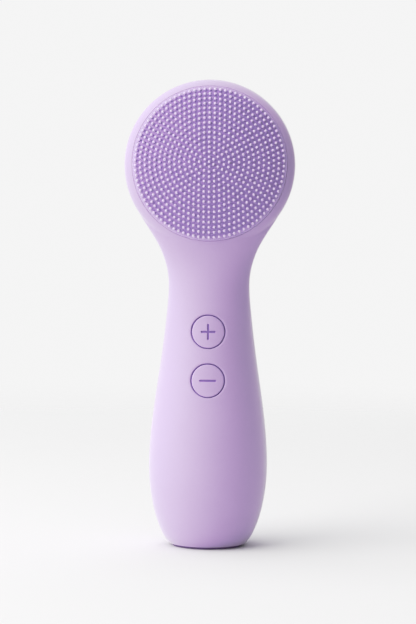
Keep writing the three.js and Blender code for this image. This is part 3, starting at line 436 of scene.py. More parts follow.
def handle_grid(top_x, top_z):
    """Rows from the arc across the neck down to the base. A row's sag under its ends fades on the way down,
    and across a row x is the half width times the cosine of an angle."""
    rows = np.linspace(0, 1, HANDLE_ROWS + 1)
    end_z = top_z[0] + (SHELL_BOTTOM - top_z[0]) * (rows + ROW_WAVE * np.sin(2 * np.pi * rows))
    sag = (top_z[0] - top_z)[None, :] * (1 - smooth((top_z[0] - end_z) / SAG_FADE))[:, None] ** 1.5
    z = end_z[:, None] - sag
    first = np.arccos(np.clip(top_x / half_width(top_z), -1, 1))
    first[0], first[-1] = 0.0, np.pi
    even = np.linspace(0, np.pi, ACROSS + 1)
    mix = smooth((top_z[0] - end_z) / SPREAD_FADE)[:, None]
    angle = first[None, :] * (1 - mix) + even[None, :] * mix
    x = half_width(z) * np.cos(angle)
    x[0], z[0] = top_x, top_z
    return x, z


def open_hole(x, z, side, middle, half, radius, cells, spread):
    """Bends the grid round an opening: squares of grid lines round the middle are drawn as slot rings and
    fade back into the plain grid. Returns the mask of the cells inside, and the opening's loop of (row,
    column)."""
    column = ACROSS // 2
    row = int(np.argmin(np.abs(z[:, column] - middle)))
    i, j = np.indices(x.shape)
    di, dj = i - row, j - column
    ring = np.maximum(np.abs(di) - cells[0], np.abs(dj) - cells[1])
    near = (ring >= 0) & (ring <= spread)
    high, wide = cells[0] + ring, cells[1] + ring
    down = np.where(near, -di / np.maximum(high, 1), 0.0)
    across = np.where(near, -dj / np.maximum(wide, 1), 0.0)  # columns run from +X to -X
    step = np.abs(z[row, column] - z[row + 1, column])
    size = radius + ring * step * HOLE_SPREAD
    ring_x, ring_z = slot_ring(half, np.maximum(size, 0.1), across, down)
    wanted_z = height_for(ring_x, middle + ring_z, side, rounds=5)
    keep = smooth(ring / spread)
    x[near] = (ring_x * (1 - keep) + x * keep)[near]
    z[near] = (wanted_z * (1 - keep) + z * keep)[near]
    inside = np.zeros((x.shape[0] - 1, x.shape[1] - 1), bool)
    inside[row - cells[0] : row + cells[0], column - cells[1] : column + cells[1]] = True
    top, low = row - cells[0], row + cells[0]
    left, right = column - cells[1], column + cells[1]
    loop = [(top, c) for c in range(left, right)] + [(r, right) for r in range(top, low)]
    loop += [(low, c) for c in range(right, left, -1)] + [(r, left) for r in range(low, top, -1)]
    return inside, np.array(loop)


EDGE_STEPS = np.radians([22.5, 45.0, 67.5, 90.0])
# Half the cells that an opening takes up, down and across, and the rings of cells bent round it.
HOLE_CELLS = ((8, 8), 4)
SOCKET_CELLS = ((6, 10), 6)


def shell(side):
    """Points and faces of one housing shell: its skin, its lining one wall further in, the moulded edges
    and walls of its openings, and the faces along its seam and its lower edge."""
    head_x, head_z = head_grid(side)
    arc = (np.arange(ACROSS + 1) * -1 - CORNER) % ROUND_STEPS
    x, z = handle_grid(head_x[-1, arc], head_z[-1, arc])
    holes = []
    if side < 0:
        for middle in BUTTON_HEIGHTS.values():
            holes.append(open_hole(x, z, side, middle, 0.0, BUTTON_HOLE + EDGE, *HOLE_CELLS))
    else:
        holes.append(open_hole(x, z, side, SOCKET_Z, SOCKET_HALF, SOCKET_RADIUS + EDGE, *SOCKET_CELLS))

    head_count = head_x.size
    head_index = np.arange(head_count).reshape(head_x.shape)
    handle_index = np.empty(x.shape, int)
    handle_index[0] = head_index[-1, arc]
    handle_index[1:] = head_count + np.arange(x[1:].size).reshape(x[1:].shape)
    all_x = np.concatenate([head_x.ravel(), x[1:].ravel()])
    all_z = np.concatenate([head_z.ravel(), z[1:].ravel()])
    skin = surface(all_x, all_z, side)
    faces = [grid_faces(head_index, wrap=True)]
    cells = grid_faces(handle_index).reshape(x.shape[0] - 1, x.shape[1] - 1, 4)
    inside = np.any([h[0] for h in holes], axis=0)
    faces.append(flipped(cells[~inside]))
    faces = np.concatenate(faces)

    # Normals from the faces, turned outwards; on the seam they have no part across it.
    corners = skin[faces]
    face_normals = np.cross(corners[:, 2] - corners[:, 0], corners[:, 3] - corners[:, 1])
    normals = np.zeros_like(skin)
    for k in range(4):
        np.add.at(normals, faces[:, k], face_normals)
    if (normals[:, 1] * side).sum() < 0:
        normals = -normals
        faces = flipped(faces)
    seam = np.zeros(len(skin), bool)
    on_seam = np.ones(ROUND_STEPS, bool)
    on_seam[arc[1:-1]] = False
    seam[head_index[-1, on_seam]] = True
    seam[handle_index[:, [0, -1]]] = True
    lean = lean_at(all_z)
    across_seam = np.stack([0 * lean, np.cos(lean), -np.sin(lean)], -1)
    flat = normals - (normals * across_seam).sum(1, keepdims=True) * across_seam
    normals = np.where(seam[:, None], flat, normals)
    normals /= np.maximum(np.linalg.norm(normals, axis=1, keepdims=True), 1e-12)
    skin = np.where(seam[:, None], skin + side * across_seam * SEAM_GAP / 2, skin)

    # The lining follows the normals, and near an opening in the handle it lies straight behind the skin.
    straight = np.zeros(len(skin))
    for _, loop in holes:
        centre = skin[handle_index[loop[:, 0], loop[:, 1]]].mean(0)
        away = np.hypot(skin[:, 0] - centre[0], skin[:, 2] - centre[2])
        reach = np.abs(skin[handle_index[loop[:, 0], loop[:, 1]], 0]).max()
        straight = np.maximum(straight, 1 - smooth((away - reach) / STRAIGHT_FADE))
    behind = np.zeros_like(skin)
    behind[:, 1] = WALL / np.maximum(np.abs(normals[:, 1]), LEAST_SQUARE) * -side
    lining = skin - WALL * normals * (1 - straight[:, None]) + behind * straight[:, None]
    low = handle_index[-1]
    lining[low, 2] = SHELL_BOTTOM
    if side < 0:
        share = np.linspace(0, 1, HEAD_RINGS + 1)[:, None, None]
        angle = np.arange(ROUND_STEPS) * 2 * np.pi / ROUND_STEPS
        under = from_head(
            PAD_OPENING * np.cos(angle), PAD_OPENING * np.sin(angle), LEDGE_TOP - LEDGE_THICKNESS
        )
        outer = lining[head_index[-1]]
        lining[head_index] = under[None] * (1 - share) + outer[None] * share

    points = [skin, lining]
    offset = len(skin)
    count = 2 * offset

    def bridge(loops):
        """Quads between loops of indices that follow each other."""
        return grid_faces(np.array(loops), wrap=True)

    walls = []
    for _, loop in holes:
        ring = handle_index[loop[:, 0], loop[:, 1]]
        middle = skin[ring].mean(0)
        middle[0] = 0.0
        inwards = -(skin[ring] - middle) * [1, 0, 1]
        half = SOCKET_HALF if side > 0 else 0.0
        inwards[:, 0] = -(skin[ring, 0] - np.clip(skin[ring, 0], -half, half))
        inwards /= np.linalg.norm(inwards, axis=1, keepdims=True)
        loops = [ring]
        for angle in EDGE_STEPS:
            moved = skin[ring] + inwards * EDGE * np.sin(angle)
            moved[:, 1] -= side * EDGE * (1 - np.cos(angle))
            points.append(moved)
            loops.append(count + np.arange(len(ring)))
            count += len(ring)
        points.append(lining[ring] + inwards * EDGE)
        loops.append(count + np.arange(len(ring)))
        count += len(ring)
        loops.append(ring + offset)
        walls.append(bridge(loops))
    ring = head_index[0]
    if side < 0:
        angle = np.arange(ROUND_STEPS) * 2 * np.pi / ROUND_STEPS
        ahead = (skin[ring] - HEAD_CENTRE) @ AHEAD
        profile = [
            (PAD_OPENING + PAD_RIM_EDGE * (1 - np.sin(a)), ahead - PAD_RIM_EDGE * (1 - np.cos(a)))
            for a in EDGE_STEPS
        ]
        profile += [(PAD_OPENING, LEDGE_TOP + 0 * ahead), (LEDGE_INNER, LEDGE_TOP + 0 * ahead)]
        profile += [(LEDGE_INNER, LEDGE_TOP - LEDGE_THICKNESS + 0 * ahead)]
        loops = [ring]
        for radius, lift in profile:
            points.append(from_head(radius * np.cos(angle), radius * np.sin(angle), lift))
            loops.append(count + np.arange(len(ring)))
            count += len(ring)
        loops.append(ring + offset)
        walls.append(bridge(loops))
    else:
        # The head's middle behind the rings: squares of grid lines drawn round, for the skin and its lining.
        n = ROUND_STEPS // 4
        u, v = np.meshgrid(np.linspace(-1, 1, n + 1), np.linspace(-1, 1, n + 1))
        size = np.maximum(np.abs(u), np.abs(v))
        safe = np.maximum(size, 1e-9)
        px, pz = slot_ring(0.0, 1.0, u / safe, v / safe)
        cap_x = px * size * RIM_START[side]
        cap_up = pz * size * RIM_START[side]
        fitted = height_on_head(cap_x, cap_up, side)[0]
        cap = surface(cap_x, fitted, side)
        cap_normals = skin_normals(cap_x, fitted, side)
        inner = (size < 1 - 1e-9).ravel()
        angle = np.degrees(np.arctan2(pz, px)) % 360
        step = np.rint(angle / (360 / ROUND_STEPS)).astype(int) % ROUND_STEPS
        for k, sheet in enumerate([cap, cap - WALL * cap_normals]):
            index = np.where(inner, count + np.cumsum(inner) - 1, 0).reshape(size.shape)
            index = np.where(inner.reshape(size.shape), index, head_index[0][step] + k * offset)
            points.append(sheet.reshape(-1, 3)[inner])
            count += int(inner.sum())
            walls.append(grid_faces(index))
    # Along the seam, round the head and down both sides, and along the lower edge.
    right = list(handle_index[:0:-1, 0])
    round_head = list(head_index[-1, (np.arange(ROUND_STEPS - ACROSS + 1) - CORNER) % ROUND_STEPS])
    left = list(handle_index[1:, -1])
    edge = np.array(right + round_head + left + list(handle_index[-1, -2:0:-1]))
    walls.append(bridge([edge, edge + offset]))
    return closed(np.concatenate(points), [faces, *walls, faces + offset])


# ---------------------------------------------------------------- round pieces
def disc_grid(cells, radius, half=0.0):
    """A square grid drawn round, or drawn as a slot with round ends: each square of grid lines becomes a
    ring, whose size is its share of the radius. Returns across, up and the index loop of its edge."""
    line = np.linspace(-1, 1, cells + 1)
    u, v = np.meshgrid(line, line)
    size = np.maximum(np.abs(u), np.abs(v))
    safe = np.maximum(size, 1e-9)
    x, up = slot_ring(half, radius, u / safe, v / safe)
    index = np.arange(u.size).reshape(u.shape)
    loop = np.concatenate([index[0, :-1], index[:-1, -1], index[-1, :0:-1], index[:0:-1, 0]])
    return x * size, up * size, index, loop


def capped(sheet, index, loop, rings, end=None):
    """A sheet whose edge loop runs on through rings of points to a last point, or to the last ring."""
    points, groups = [sheet.reshape(-1, 3)], [grid_faces(index)]
    loops, count = [loop], sheet.size // 3
    for ring in rings:
        points.append(ring)
        loops.append(count + np.arange(len(ring)))
        count += len(ring)
    groups.append(grid_faces(np.array(loops), wrap=True))
    points.append(np.mean(rings[-1], 0)[None] if end is None else np.array([end]))
    groups.append(fan(loops[-1], count))
    return closed(np.concatenate(points), groups)


def turned(profile, steps, place):
    """A profile of (radius, height) carried once round an axis and closed by a point at each end; place
    turns across, up and height into points."""
    profile = np.array(profile)
    angle = np.arange(steps) * 2 * np.pi / steps
    radius, height = profile[:, :1], profile[:, 1:]
    rings = place(radius * np.cos(angle), radius * np.sin(angle), height + 0 * angle).reshape(-1, 3)
    ends = place(np.zeros(2), np.zeros(2), profile[[0, -1], 1])
    index = np.arange(len(profile) * steps).reshape(len(profile), steps)
    last = index.size
    groups = [grid_faces(index, wrap=True), fan(index[0], last), fan(index[-1], last + 1)]
    return closed(np.concatenate([rings, ends]), groups)


def quarter_round(radius, height, size, turn=1.0, steps=5):
    """Profile points of a rounded edge that leaves a flat face at height and meets a wall at radius."""
    a = np.linspace(0, np.pi / 2, steps)
    return [(radius - size * (1 - np.sin(t)), height - turn * size * (1 - np.cos(t))) for t in a]


FLANGE_FRONT = surface(FLANGE_RADIUS, BUTTON_HEIGHTS["plus"], -1.0)[1] + FLANGE_SETBACK


def button(name):
    """A button: its crown is the housing's own surface, with the symbol's strokes sunk into it by a smooth
    step on their distance; the edge is rounded and runs on to the wall, the flange and the stem."""
    height = BUTTON_HEIGHTS[name]
    x, up, index, loop = disc_grid(CROWN_CELLS, BUTTON_RADIUS - EDGE)
    away = np.min([np.hypot(np.maximum(np.abs(x) - a, 0), np.maximum(np.abs(up) - b, 0))
                   for a, b in SYMBOLS[name]], axis=0)
    sunk = 1 - smooth((away - SYMBOL_STROKE + STROKE_FADE) / (2 * STROKE_FADE))
    crown = surface(x, height_for(x, height + up, -1.0), -1.0)
    crown[..., 1] += SYMBOL_DEPTH * sunk
    across, rise = x.ravel()[loop] / (BUTTON_RADIUS - EDGE), up.ravel()[loop] / (BUTTON_RADIUS - EDGE)
    rings = []
    for t in EDGE_STEPS:
        r = BUTTON_RADIUS - EDGE * (1 - np.sin(t))
        ring = surface(r * across, height_for(r * across, height + r * rise, -1.0), -1.0)
        ring[:, 1] += EDGE * (1 - np.cos(t))
        rings.append(ring)
    for r, sunk_by in LIP_STEPS:
        ring = surface(r * across, height_for(r * across, height + r * rise, -1.0), -1.0)
        ring[:, 1] += sunk_by
        rings.append(ring)
    rear = FLANGE_FRONT + FLANGE_THICKNESS
    stem_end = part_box(f"{name}_button")[1].y / MM
    wall = [(BUTTON_RADIUS, FLANGE_FRONT), (FLANGE_RADIUS, FLANGE_FRONT), (FLANGE_RADIUS, rear),
            (STEM_RADIUS, rear), (STEM_RADIUS, stem_end)]
    rings += [np.stack([r * across, y + 0 * across, height + r * rise], -1) for r, y in wall]
    shape = capped(crown, index, loop, rings)
    paint = np.zeros(len(shape[0]))
    paint[: sunk.size] = STROKE_PAINT * sunk.ravel()
    # The outermost ring of the button's rounded edge and its lip are painted the dark purple: painted shade
    # in the ring gap round the button.
    gap_shade_start = sunk.size + (len(EDGE_STEPS) - 1) * len(loop)
    paint[gap_shade_start : gap_shade_start + (len(LIP_STEPS) + 1) * len(loop)] = 1.0
    return shape, paint


def dome_at(r):
    """The membrane's front, ahead of the head's middle plane: its edge plus a parabola."""
    return PAD_EDGE + PAD_DOME * (1 - (r / PAD_RADIUS) ** 2)


def bristle_pad():
    """The silicone pad: a domed membrane with a rounded edge and a skirt, and rings of bristles, six more
    in each ring than in the one inside it. A bristle is its profile carried round a line along the
    head's axis, from just inside the membrane."""
    dome_end = PAD_RADIUS - PAD_ROUND - PAD_EDGE_GAP
    front = [(r, dome_at(r)) for r in np.linspace(PAD_POLE, dome_end, PAD_FRONT_RINGS)]
    front += quarter_round(PAD_RADIUS, dome_at(PAD_RADIUS - PAD_ROUND), PAD_ROUND)
    inner = PAD_RADIUS - MEMBRANE
    back = [(PAD_RADIUS, PAD_FOOT), (inner, PAD_FOOT)]
    back += [(r, dome_at(r) - MEMBRANE) for r in np.linspace(inner, PAD_POLE, PAD_BACK_RINGS)]
    points, faces = turned(front + back, PAD_STEPS, from_head)
    k = np.repeat(np.arange(1, BRISTLE_RINGS + 1), 6 * np.arange(1, BRISTLE_RINGS + 1))
    place = np.concatenate([np.arange(6 * n) / (6 * n) for n in range(1, BRISTLE_RINGS + 1)])
    angle = np.pi / 2 + 2 * np.pi * place
    reach = np.concatenate([[0], k * BRISTLE_PITCH])
    angle = np.concatenate([[0], angle])
    cx, cu = reach * np.cos(angle), reach * np.sin(angle)
    around = np.arange(BRISTLE_SIDES) * 2 * np.pi / BRISTLE_SIDES
    radius, lift = np.array(BRISTLE_PROFILE).T
    x = cx[:, None, None] + radius[None, :, None] * np.cos(around)
    up = cu[:, None, None] + radius[None, :, None] * np.sin(around)
    ahead = dome_at(reach)[:, None, None] + lift[None, :, None] + 0 * x
    rings = from_head(x, up, ahead).reshape(len(cx), -1, 3)
    end_lift = [lift[0], BRISTLE_LENGTH]
    ends = from_head(cx[:, None] + [0, 0], cu[:, None] + [0, 0], dome_at(reach)[:, None] + end_lift)
    one = np.concatenate([rings, ends], 1)
    index = np.arange(rings.shape[1]).reshape(len(radius), BRISTLE_SIDES)
    last = rings.shape[1]
    caps = [fan(index[0], last), fan(index[-1], last + 1)]
    one_faces = closed(one[0], [grid_faces(index, wrap=True), *caps])[1]
    step = one.shape[1]
    every = (one_faces[None] + (np.arange(len(cx)) * step)[:, None, None] + len(points)).reshape(-1, 4)
    # Each bristle is painted lighter towards its tip, a painted highlight, and keeps the darker base colour
    # at its foot, painted shade between the bristles.
    tip_highlight = np.concatenate([np.repeat(lift, BRISTLE_SIDES), end_lift]) / BRISTLE_LENGTH
    # The membrane's bare edge outside the bristles is painted lighter, taking off the painted shade that the
    # base colour gives the valleys.
    away = points - HEAD_CENTRE
    outermost = BRISTLE_RINGS * BRISTLE_PITCH
    bare = smooth((np.hypot(away[:, 0], away @ UP) - outermost + BARE_START) / BARE_FADE)
    paint = np.concatenate([BARE_PAINTED_LIGHT * bare, np.tile(np.clip(tip_highlight, 0, 1), len(cx))])
    return (np.concatenate([points, one.reshape(-1, 3)]), np.concatenate([faces, every])), paint


def foot():
    """The rubber foot: an oval disc with rounded edges and a shallow ring moulded into its underside."""
    high = np.array(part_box("base_foot")[1]) / MM
    size, tall = high[0], high[2]
    profile = [(size * 0.3, FOOT_RING), (size * 0.62, FOOT_RING), (size * 0.66, 0.0)]
    profile += [(size * 0.93, 0.0)] + quarter_round(size, 0.0, FOOT_EDGE, -1.0)[1:]
    profile += [(size, tall - FOOT_TOP_EDGE), (size - FOOT_TOP_EDGE, tall), (size * 0.5, tall)]
    squash = high[1] / size

    def place(x, y, z):
        return np.stack([x, y * squash, z], -1)

    return turned(profile, FOOT_STEPS, place)


# ---------------------------------------------------------------- materials
# Scales of the patterns, in cycles per metre.
CLOUD_SCALE = 70.0
SPECKLE_SCALE = 1100.0
PATCH_SCALE = 350.0
SPECKLE_SHARE = 0.3  # how far the speckles go to their darker colour
SPECKLE_DEPTH = 4  # how much darker the speckles are than the clouds
ROUGHNESS_SWING = 0.04
SHEEN_ROUGHNESS = 0.45
COAT_ROUGHNESS = 0.15
SOFT_RADIUS = (1.0, 0.75, 1.0)  # how far red, green and blue light travels inside
SOFT_SCALE = 0.0006
NOISE_RANGE = (0.3, 0.7)  # where nearly all of a noise's values lie


def new_material(name):
    """An empty procedural material: itself, its nodes, its links and its shader."""
    material = bpy.data.materials.new(name)
    material.use_nodes = True
    nodes = material.node_tree.nodes
    shader = nodes.get("Principled BSDF") or nodes.new("ShaderNodeBsdfPrincipled")
    return material, nodes, material.node_tree.links, shader


def linear(hex_colour):
    """A colour written as six hex digits, as linear red, green, blue and 1."""
    values = np.array([int(hex_colour[i : i + 2], 16) for i in (0, 2, 4)]) / 255
    values = np.where(values <= 0.04045, values / 12.92, ((values + 0.055) / 1.055) ** 2.4)
    return (*[float(v) for v in values], 1.0)


def noise(nodes, links, coords, scale, detail=2.0):
    """Soft noise on the given coordinates, mostly between 0.3 and 0.7."""
    made = nodes.new("ShaderNodeTexNoise")
    made.inputs["Scale"].default_value = scale
    made.inputs["Detail"].default_value = detail
    made.inputs["Roughness"].default_value = 0.5
    links.new(coords, made.inputs["Vector"])
    return made.outputs["Fac"]


def ranged(nodes, links, value, low, high):
    """A noise's value, stretched to run from low to high."""
    made = nodes.new("ShaderNodeMapRange")
    made.inputs["From Min"].default_value = NOISE_RANGE[0]
    made.inputs["From Max"].default_value = NOISE_RANGE[1]
    made.inputs["To Min"].default_value = low
    made.inputs["To Max"].default_value = high
    links.new(value, made.inputs["Value"])
    return made.outputs["Result"]


def blend(nodes, links, factor, first, second):
    """The first colour where the factor is 0 and the second where it is 1; each is a colour or a socket."""
    made = nodes.new("ShaderNodeMix")
    made.data_type = "RGBA"
    links.new(factor, made.inputs["Factor"])
    for value, socket in ((first, made.inputs["A"]), (second, made.inputs["B"])):
        if isinstance(value, tuple):
            socket.default_value = value
        else:
            links.new(value, socket)
    return made.outputs["Result"]


def moulded(name, colour, roughness, grain=(2500.0, 0.00001), cloud=0.04, metallic=0.0, painted=None,
            sheen=0.0, subsurface=0.0, specular=0.5, coat=0.0, stretch=(1.0, 1.0, 1.0)):
    """A finish with a faint cloudiness of colour, fine darker speckles, roughness that varies over a few
    millimetres, and a fine grain in the surface. Grain gives the grain's scale and its height in metres,
    and painted the colour that the paint attribute fades to."""
    material, nodes, links, shader = new_material(name)
    coords = nodes.new("ShaderNodeTexCoord").outputs["Object"]
    if stretch != (1.0, 1.0, 1.0):
        mapping = nodes.new("ShaderNodeMapping")
        mapping.inputs["Scale"].default_value = stretch
        links.new(coords, mapping.inputs["Vector"])
        coords = mapping.outputs["Vector"]
    base = linear(colour)
    darker = tuple(c * (1 - cloud) for c in base[:3]) + (1.0,)
    lighter = tuple(min(c * (1 + cloud), 1.0) for c in base[:3]) + (1.0,)
    cloudy = ranged(nodes, links, noise(nodes, links, coords, CLOUD_SCALE, 3.0), 0.0, 1.0)
    result = blend(nodes, links, cloudy, darker, lighter)
    fine = noise(nodes, links, coords, SPECKLE_SCALE)
    speckle = tuple(c * max(1 - SPECKLE_DEPTH * cloud, 0.0) for c in base[:3]) + (1.0,)
    result = blend(nodes, links, ranged(nodes, links, fine, SPECKLE_SHARE, 0.0), result, speckle)
    if painted:
        attribute = nodes.new("ShaderNodeAttribute")
        attribute.attribute_name = "paint"
        result = blend(nodes, links, attribute.outputs["Fac"], result, linear(painted))
    links.new(result, shader.inputs["Base Color"])
    patchy = noise(nodes, links, coords, PATCH_SCALE)
    patchy = ranged(nodes, links, patchy, roughness - ROUGHNESS_SWING, roughness + ROUGHNESS_SWING)
    links.new(patchy, shader.inputs["Roughness"])
    scale, height = grain
    bump = nodes.new("ShaderNodeBump")
    bump.inputs["Strength"].default_value = 1.0
    bump.inputs["Distance"].default_value = height
    links.new(noise(nodes, links, coords, scale, 3.0), bump.inputs["Height"])
    links.new(bump.outputs["Normal"], shader.inputs["Normal"])
    shader.inputs["Metallic"].default_value = metallic
    shader.inputs["Specular IOR Level"].default_value = specular
    if sheen:
        shader.inputs["Sheen Weight"].default_value = sheen
        shader.inputs["Sheen Roughness"].default_value = SHEEN_ROUGHNESS
    if subsurface:
        shader.inputs["Subsurface Weight"].default_value = subsurface
        shader.inputs["Subsurface Radius"].default_value = SOFT_RADIUS
        shader.inputs["Subsurface Scale"].default_value = SOFT_SCALE
    if coat:
        shader.inputs["Coat Weight"].default_value = coat
        shader.inputs["Coat Roughness"].default_value = COAT_ROUGHNESS
    return material


SOFT_LILAC = moulded("soft_touch_lilac", "BBA2D0", 0.6, (3200.0, 0.000004), 0.012, sheen=0.8, specular=0.5)
# The button's paint colour is print in the symbol's strokes and painted shade in the ring gap round the
# button.
BUTTON_LILAC = moulded("soft_touch_button", "BBA2D0", 0.55, (3200.0, 0.000004), 0.012, painted="7A58A2",
                       sheen=0.5, specular=0.5)
# The pad's base colour is partly the silicone's own lilac and partly painted shade of the valleys among the
# bristles; the paint attribute fades it towards a painted highlight at the tips and the bare edge.
PAD_SILICONE = moulded("pad_silicone", "B69CD2", 0.5, (2200.0, 0.000006), 0.02, painted="DECAF0",
                       sheen=0.5, subsurface=0.4, specular=0.35)
FINISHES = {
    "foot_rubber": moulded("foot_rubber", "7E6796", 0.75, (1800.0, 0.00003), 0.05, specular=0.3),
    "grey_rubber": moulded("sealing_rubber", "56515C", 0.7, (1500.0, 0.00003), 0.08, specular=0.3),
    "inner_plastic": moulded("natural_nylon", "E4E2E6", 0.5, (900.0, 0.00002), 0.02, subsurface=0.1),
    "black_plastic": moulded("black_nylon", "242428", 0.5, (1200.0, 0.00003), 0.15),
    "board_green": moulded("solder_mask", "1D6A43", 0.3, (500.0, 0.00001), 0.2, coat=0.4),
    "led_lens": moulded("clear_epoxy", "F4F0DE", 0.15, (600.0, 0.000004), 0.02, coat=0.6),
    "steel": moulded("zinc_plate", "BDC0C4", 0.3, (700.0, 0.000008), 0.08, metallic=1.0),
    "magnet_metal": moulded("nickel_plate", "AEB1B5", 0.22, (500.0, 0.000004), 0.05, metallic=1.0),
    "weight_brass": moulded("turned_brass", "C9A24C", 0.3, (900.0, 0.00001), 0.08, metallic=1.0,
                            stretch=(1.0, 1.0, 12.0)),
    "contact_brass": moulded("gold_plate", "E0BA62", 0.2, (600.0, 0.000003), 0.04, metallic=1.0),
    "cell_wrap": moulded("shrink_wrap", "3776B4", 0.25, (250.0, 0.00001), 0.06, coat=0.3),
    "foam": moulded("open_cell_foam", "4A4A4F", 0.95, (1400.0, 0.00025), 0.35, specular=0.1),
    "red_wire": moulded("red_insulation", "B5332E", 0.4, (900.0, 0.00001), 0.06),
    "blue_wire": moulded("blue_insulation", "2F55A0", 0.4, (900.0, 0.00001), 0.06),
    "black_wire": moulded("black_insulation", "26262B", 0.4, (900.0, 0.00001), 0.1),
}

# ---------------------------------------------------------------- the pieces that show
piece("front_housing", shell(-1.0), SOFT_LILAC, "housing", ["front_shell"])
piece("rear_housing", shell(1.0), SOFT_LILAC, "housing", ["rear_shell"])
for name in BUTTON_HEIGHTS:
    shape, paint = button(name)
    piece(f"{name}_key", shape, BUTTON_LILAC, f"{name}_button", [f"{name}_button"], paint)
shape, paint = bristle_pad()
piece("silicone_pad", shape, PAD_SILICONE, "housing", ["bristle_pad"], paint)
piece("rubber_foot", foot(), FINISHES["foot_rubber"], "housing", ["base_foot"])

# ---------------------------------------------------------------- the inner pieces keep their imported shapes
for part in frame["record"]["subparts"]:
    node = frame["nodes"][part["node"]]
    if not node.hide_render:
        node.data.materials.clear()
        node.data.materials.append(FINISHES[part["material_slot"]])

# ---------------------------------------------------------------- stage, light and camera
FLOOR_RADIUS = 3000.0
FLOOR_STEPS = 96
FLOOR_RINGS = 24
FLOOR_FADE = (0.15, 0.8)  # metres from the object between which the floor runs out into the backdrop
LIGHT_FROM = (-0.72, 0.5, 0.45)
# The surround's brightness, from opposite LIGHT_FROM at 0 to along it at 1.
LIGHT_STOPS = [(0.0, 0.16), (0.2, 0.21), (0.45, 0.44), (0.65, 0.97), (0.75, 1.0), (1.0, 1.0)]
BACKDROP = 1.0  # how bright the wall behind the object looks, from any side
KEY_COLOUR = (1.0, 0.985, 0.93)
LENS = 97.70769  # focal length, millimetres
CAMERA_PLACE = (-0.0004, -0.6, 0.1008)
CAMERA_DIP = np.radians(1.73)
CAMERA_ROLL = np.radians(0.42)
CAMERA_ORBIT = np.radians(1.1)
TONES = [
    (0.0, 0.0), (0.25, 0.258), (0.4, 0.455), (0.55, 0.605), (0.7, 0.715), (0.85, 0.81), (1.0, 0.91),
]


def stage_floor():
    """A flat disc under the object, rings of points whose radius grows as the square of their number."""
    angle = np.arange(FLOOR_STEPS) * 2 * np.pi / FLOOR_STEPS
    radius = FLOOR_RADIUS * (np.arange(1, FLOOR_RINGS + 1) / FLOOR_RINGS) ** 2
    x, y = radius[:, None] * np.cos(angle), radius[:, None] * np.sin(angle)
    points = np.concatenate([np.stack([x, y, 0 * x], -1).reshape(-1, 3), np.zeros((1, 3))])
    index = np.arange(x.size).reshape(x.shape)
    faces = np.concatenate([grid_faces(index, wrap=True), fan(index[0], x.size)])
    mesh = bpy.data.meshes.new("floor")
    faces = [f[:3] if f[2] == f[3] else f for f in faces.tolist()]
    mesh.from_pydata((points * MM).tolist(), [], faces)
    material, nodes, links, shader = new_material("pale_floor")
    coords = nodes.new("ShaderNodeTexCoord").outputs["Object"]
    result = blend(nodes, links, noise(nodes, links, coords, 3.0), linear("DDDDDE"), linear("DFDFE0"))
    links.new(result, shader.inputs["Base Color"])
    shader.inputs["Roughness"].default_value = 1.0
    shader.inputs["Specular IOR Level"].default_value = 0.0
    length = nodes.new("ShaderNodeVectorMath")
    length.operation = "LENGTH"
    links.new(coords, length.inputs[0])
    fade = nodes.new("ShaderNodeMapRange")
    fade.interpolation_type = "SMOOTHSTEP"
    fade.inputs["From Min"].default_value, fade.inputs["From Max"].default_value = FLOOR_FADE
    fade.inputs["To Min"].default_value, fade.inputs["To Max"].default_value = 1.0, 0.0
    links.new(length.outputs["Value"], fade.inputs["Value"])
    links.new(fade.outputs["Result"], shader.inputs["Alpha"])
    mesh.materials.append(material)
    floor = bpy.data.objects.new("floor", mesh)
    bpy.context.scene.collection.objects.link(floor)


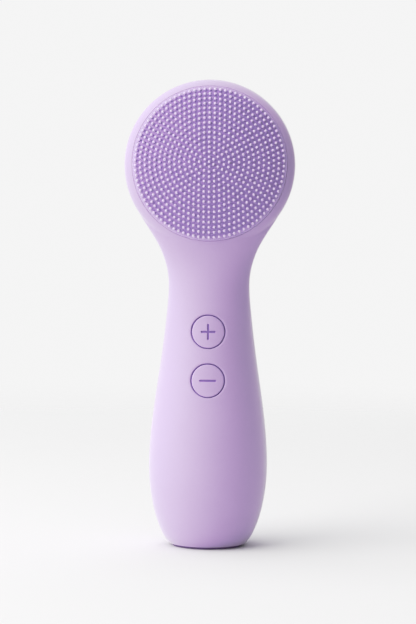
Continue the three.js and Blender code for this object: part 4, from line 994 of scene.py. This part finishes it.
def studio_world():
    """A white surround whose light is strongest from the left and behind, and weak from the right and in
    front. The wall itself looks evenly pale from every side."""
    world = bpy.data.worlds.new("studio")
    bpy.context.scene.world = world
    world.use_nodes = True
    nodes, links = world.node_tree.nodes, world.node_tree.links
    coords = nodes.new("ShaderNodeTexCoord").outputs["Generated"]
    toward = nodes.new("ShaderNodeVectorMath")
    toward.operation = "DOT_PRODUCT"
    toward.inputs[1].default_value = LIGHT_FROM
    links.new(coords, toward.inputs[0])
    shifted = nodes.new("ShaderNodeMapRange")
    shifted.inputs["From Min"].default_value = -1.0
    links.new(toward.outputs["Value"], shifted.inputs["Value"])
    ramp = nodes.new("ShaderNodeValToRGB")
    ramp.color_ramp.interpolation = "B_SPLINE"
    elements = ramp.color_ramp.elements
    while len(elements) < len(LIGHT_STOPS):
        elements.new(0.5)
    for element, (place, value) in zip(elements, LIGHT_STOPS):
        element.position = place
        element.color = (value, value, value, 1.0)
    links.new(shifted.outputs["Result"], ramp.inputs["Fac"])
    background = nodes.get("Background") or nodes.new("ShaderNodeBackground")
    backdrop = nodes.new("ShaderNodeMix")
    backdrop.data_type = "RGBA"
    backdrop.inputs["B"].default_value = (BACKDROP, BACKDROP, BACKDROP, 1.0)
    links.new(nodes.new("ShaderNodeLightPath").outputs["Is Camera Ray"], backdrop.inputs["Factor"])
    links.new(ramp.outputs["Color"], backdrop.inputs["A"])
    links.new(backdrop.outputs["Result"], background.inputs["Color"])
    background.inputs["Strength"].default_value = 1.0
    outputs = [n for n in nodes if n.type == "OUTPUT_WORLD"] or [nodes.new("ShaderNodeOutputWorld")]
    links.new(background.outputs["Background"], outputs[0].inputs["Surface"])


def area_light(name, place, target, size, power, colour=(1.0, 1.0, 1.0)):
    """A square lamp at a place, turned to its target; size in metres, power in watts."""
    light = bpy.data.lights.new(name, "AREA")
    light.shape = "SQUARE"
    light.size = size
    light.energy = power
    light.color = colour
    obj = bpy.data.objects.new(name, light)
    obj.location = place
    obj.rotation_euler = (Vector(target) - Vector(place)).to_track_quat("-Z", "Y").to_euler()
    bpy.context.scene.collection.objects.link(obj)


def camera():
    """The scene's camera: in front and dipped a little, then rolled, and carried round the object."""
    made = bpy.data.cameras.new("camera")
    made.lens = LENS
    made.clip_start, made.clip_end = 0.05, 20
    obj = bpy.data.objects.new("camera", made)
    level = Matrix.Rotation(np.pi / 2 - CAMERA_DIP, 4, "X")
    turn = level @ Matrix.Rotation(CAMERA_ROLL, 4, "Z")
    around = Matrix.Rotation(CAMERA_ORBIT, 4, "Z")
    obj.matrix_world = around @ Matrix.Translation(CAMERA_PLACE) @ turn
    bpy.context.scene.collection.objects.link(obj)
    bpy.context.scene.camera = obj


def develop():
    """The picture's tone: middle tones lifted a little and bright tones held back, alike in each colour."""
    settings = bpy.context.scene.view_settings
    settings.view_transform = "Standard"
    settings.use_curve_mapping = True
    mapping = settings.curve_mapping
    mapping.use_clip = False
    mapping.extend = "EXTRAPOLATED"
    curve = mapping.curves[3]  # the one for all colours together
    curve.points[0].location, curve.points[1].location = TONES[0], TONES[-1]
    for place in TONES[1:-1]:
        curve.points.new(*place)
    mapping.update()


stage_floor()
studio_world()
area_light("key", place=(-1.1, -0.55, 0.6), target=(0, 0, 0.09), size=1.3, power=14.5, colour=KEY_COLOUR)
area_light("top", place=(-0.4, 0.0, 1.25), target=(0, 0, 0.1), size=1.0, power=7.5)
camera()
develop()
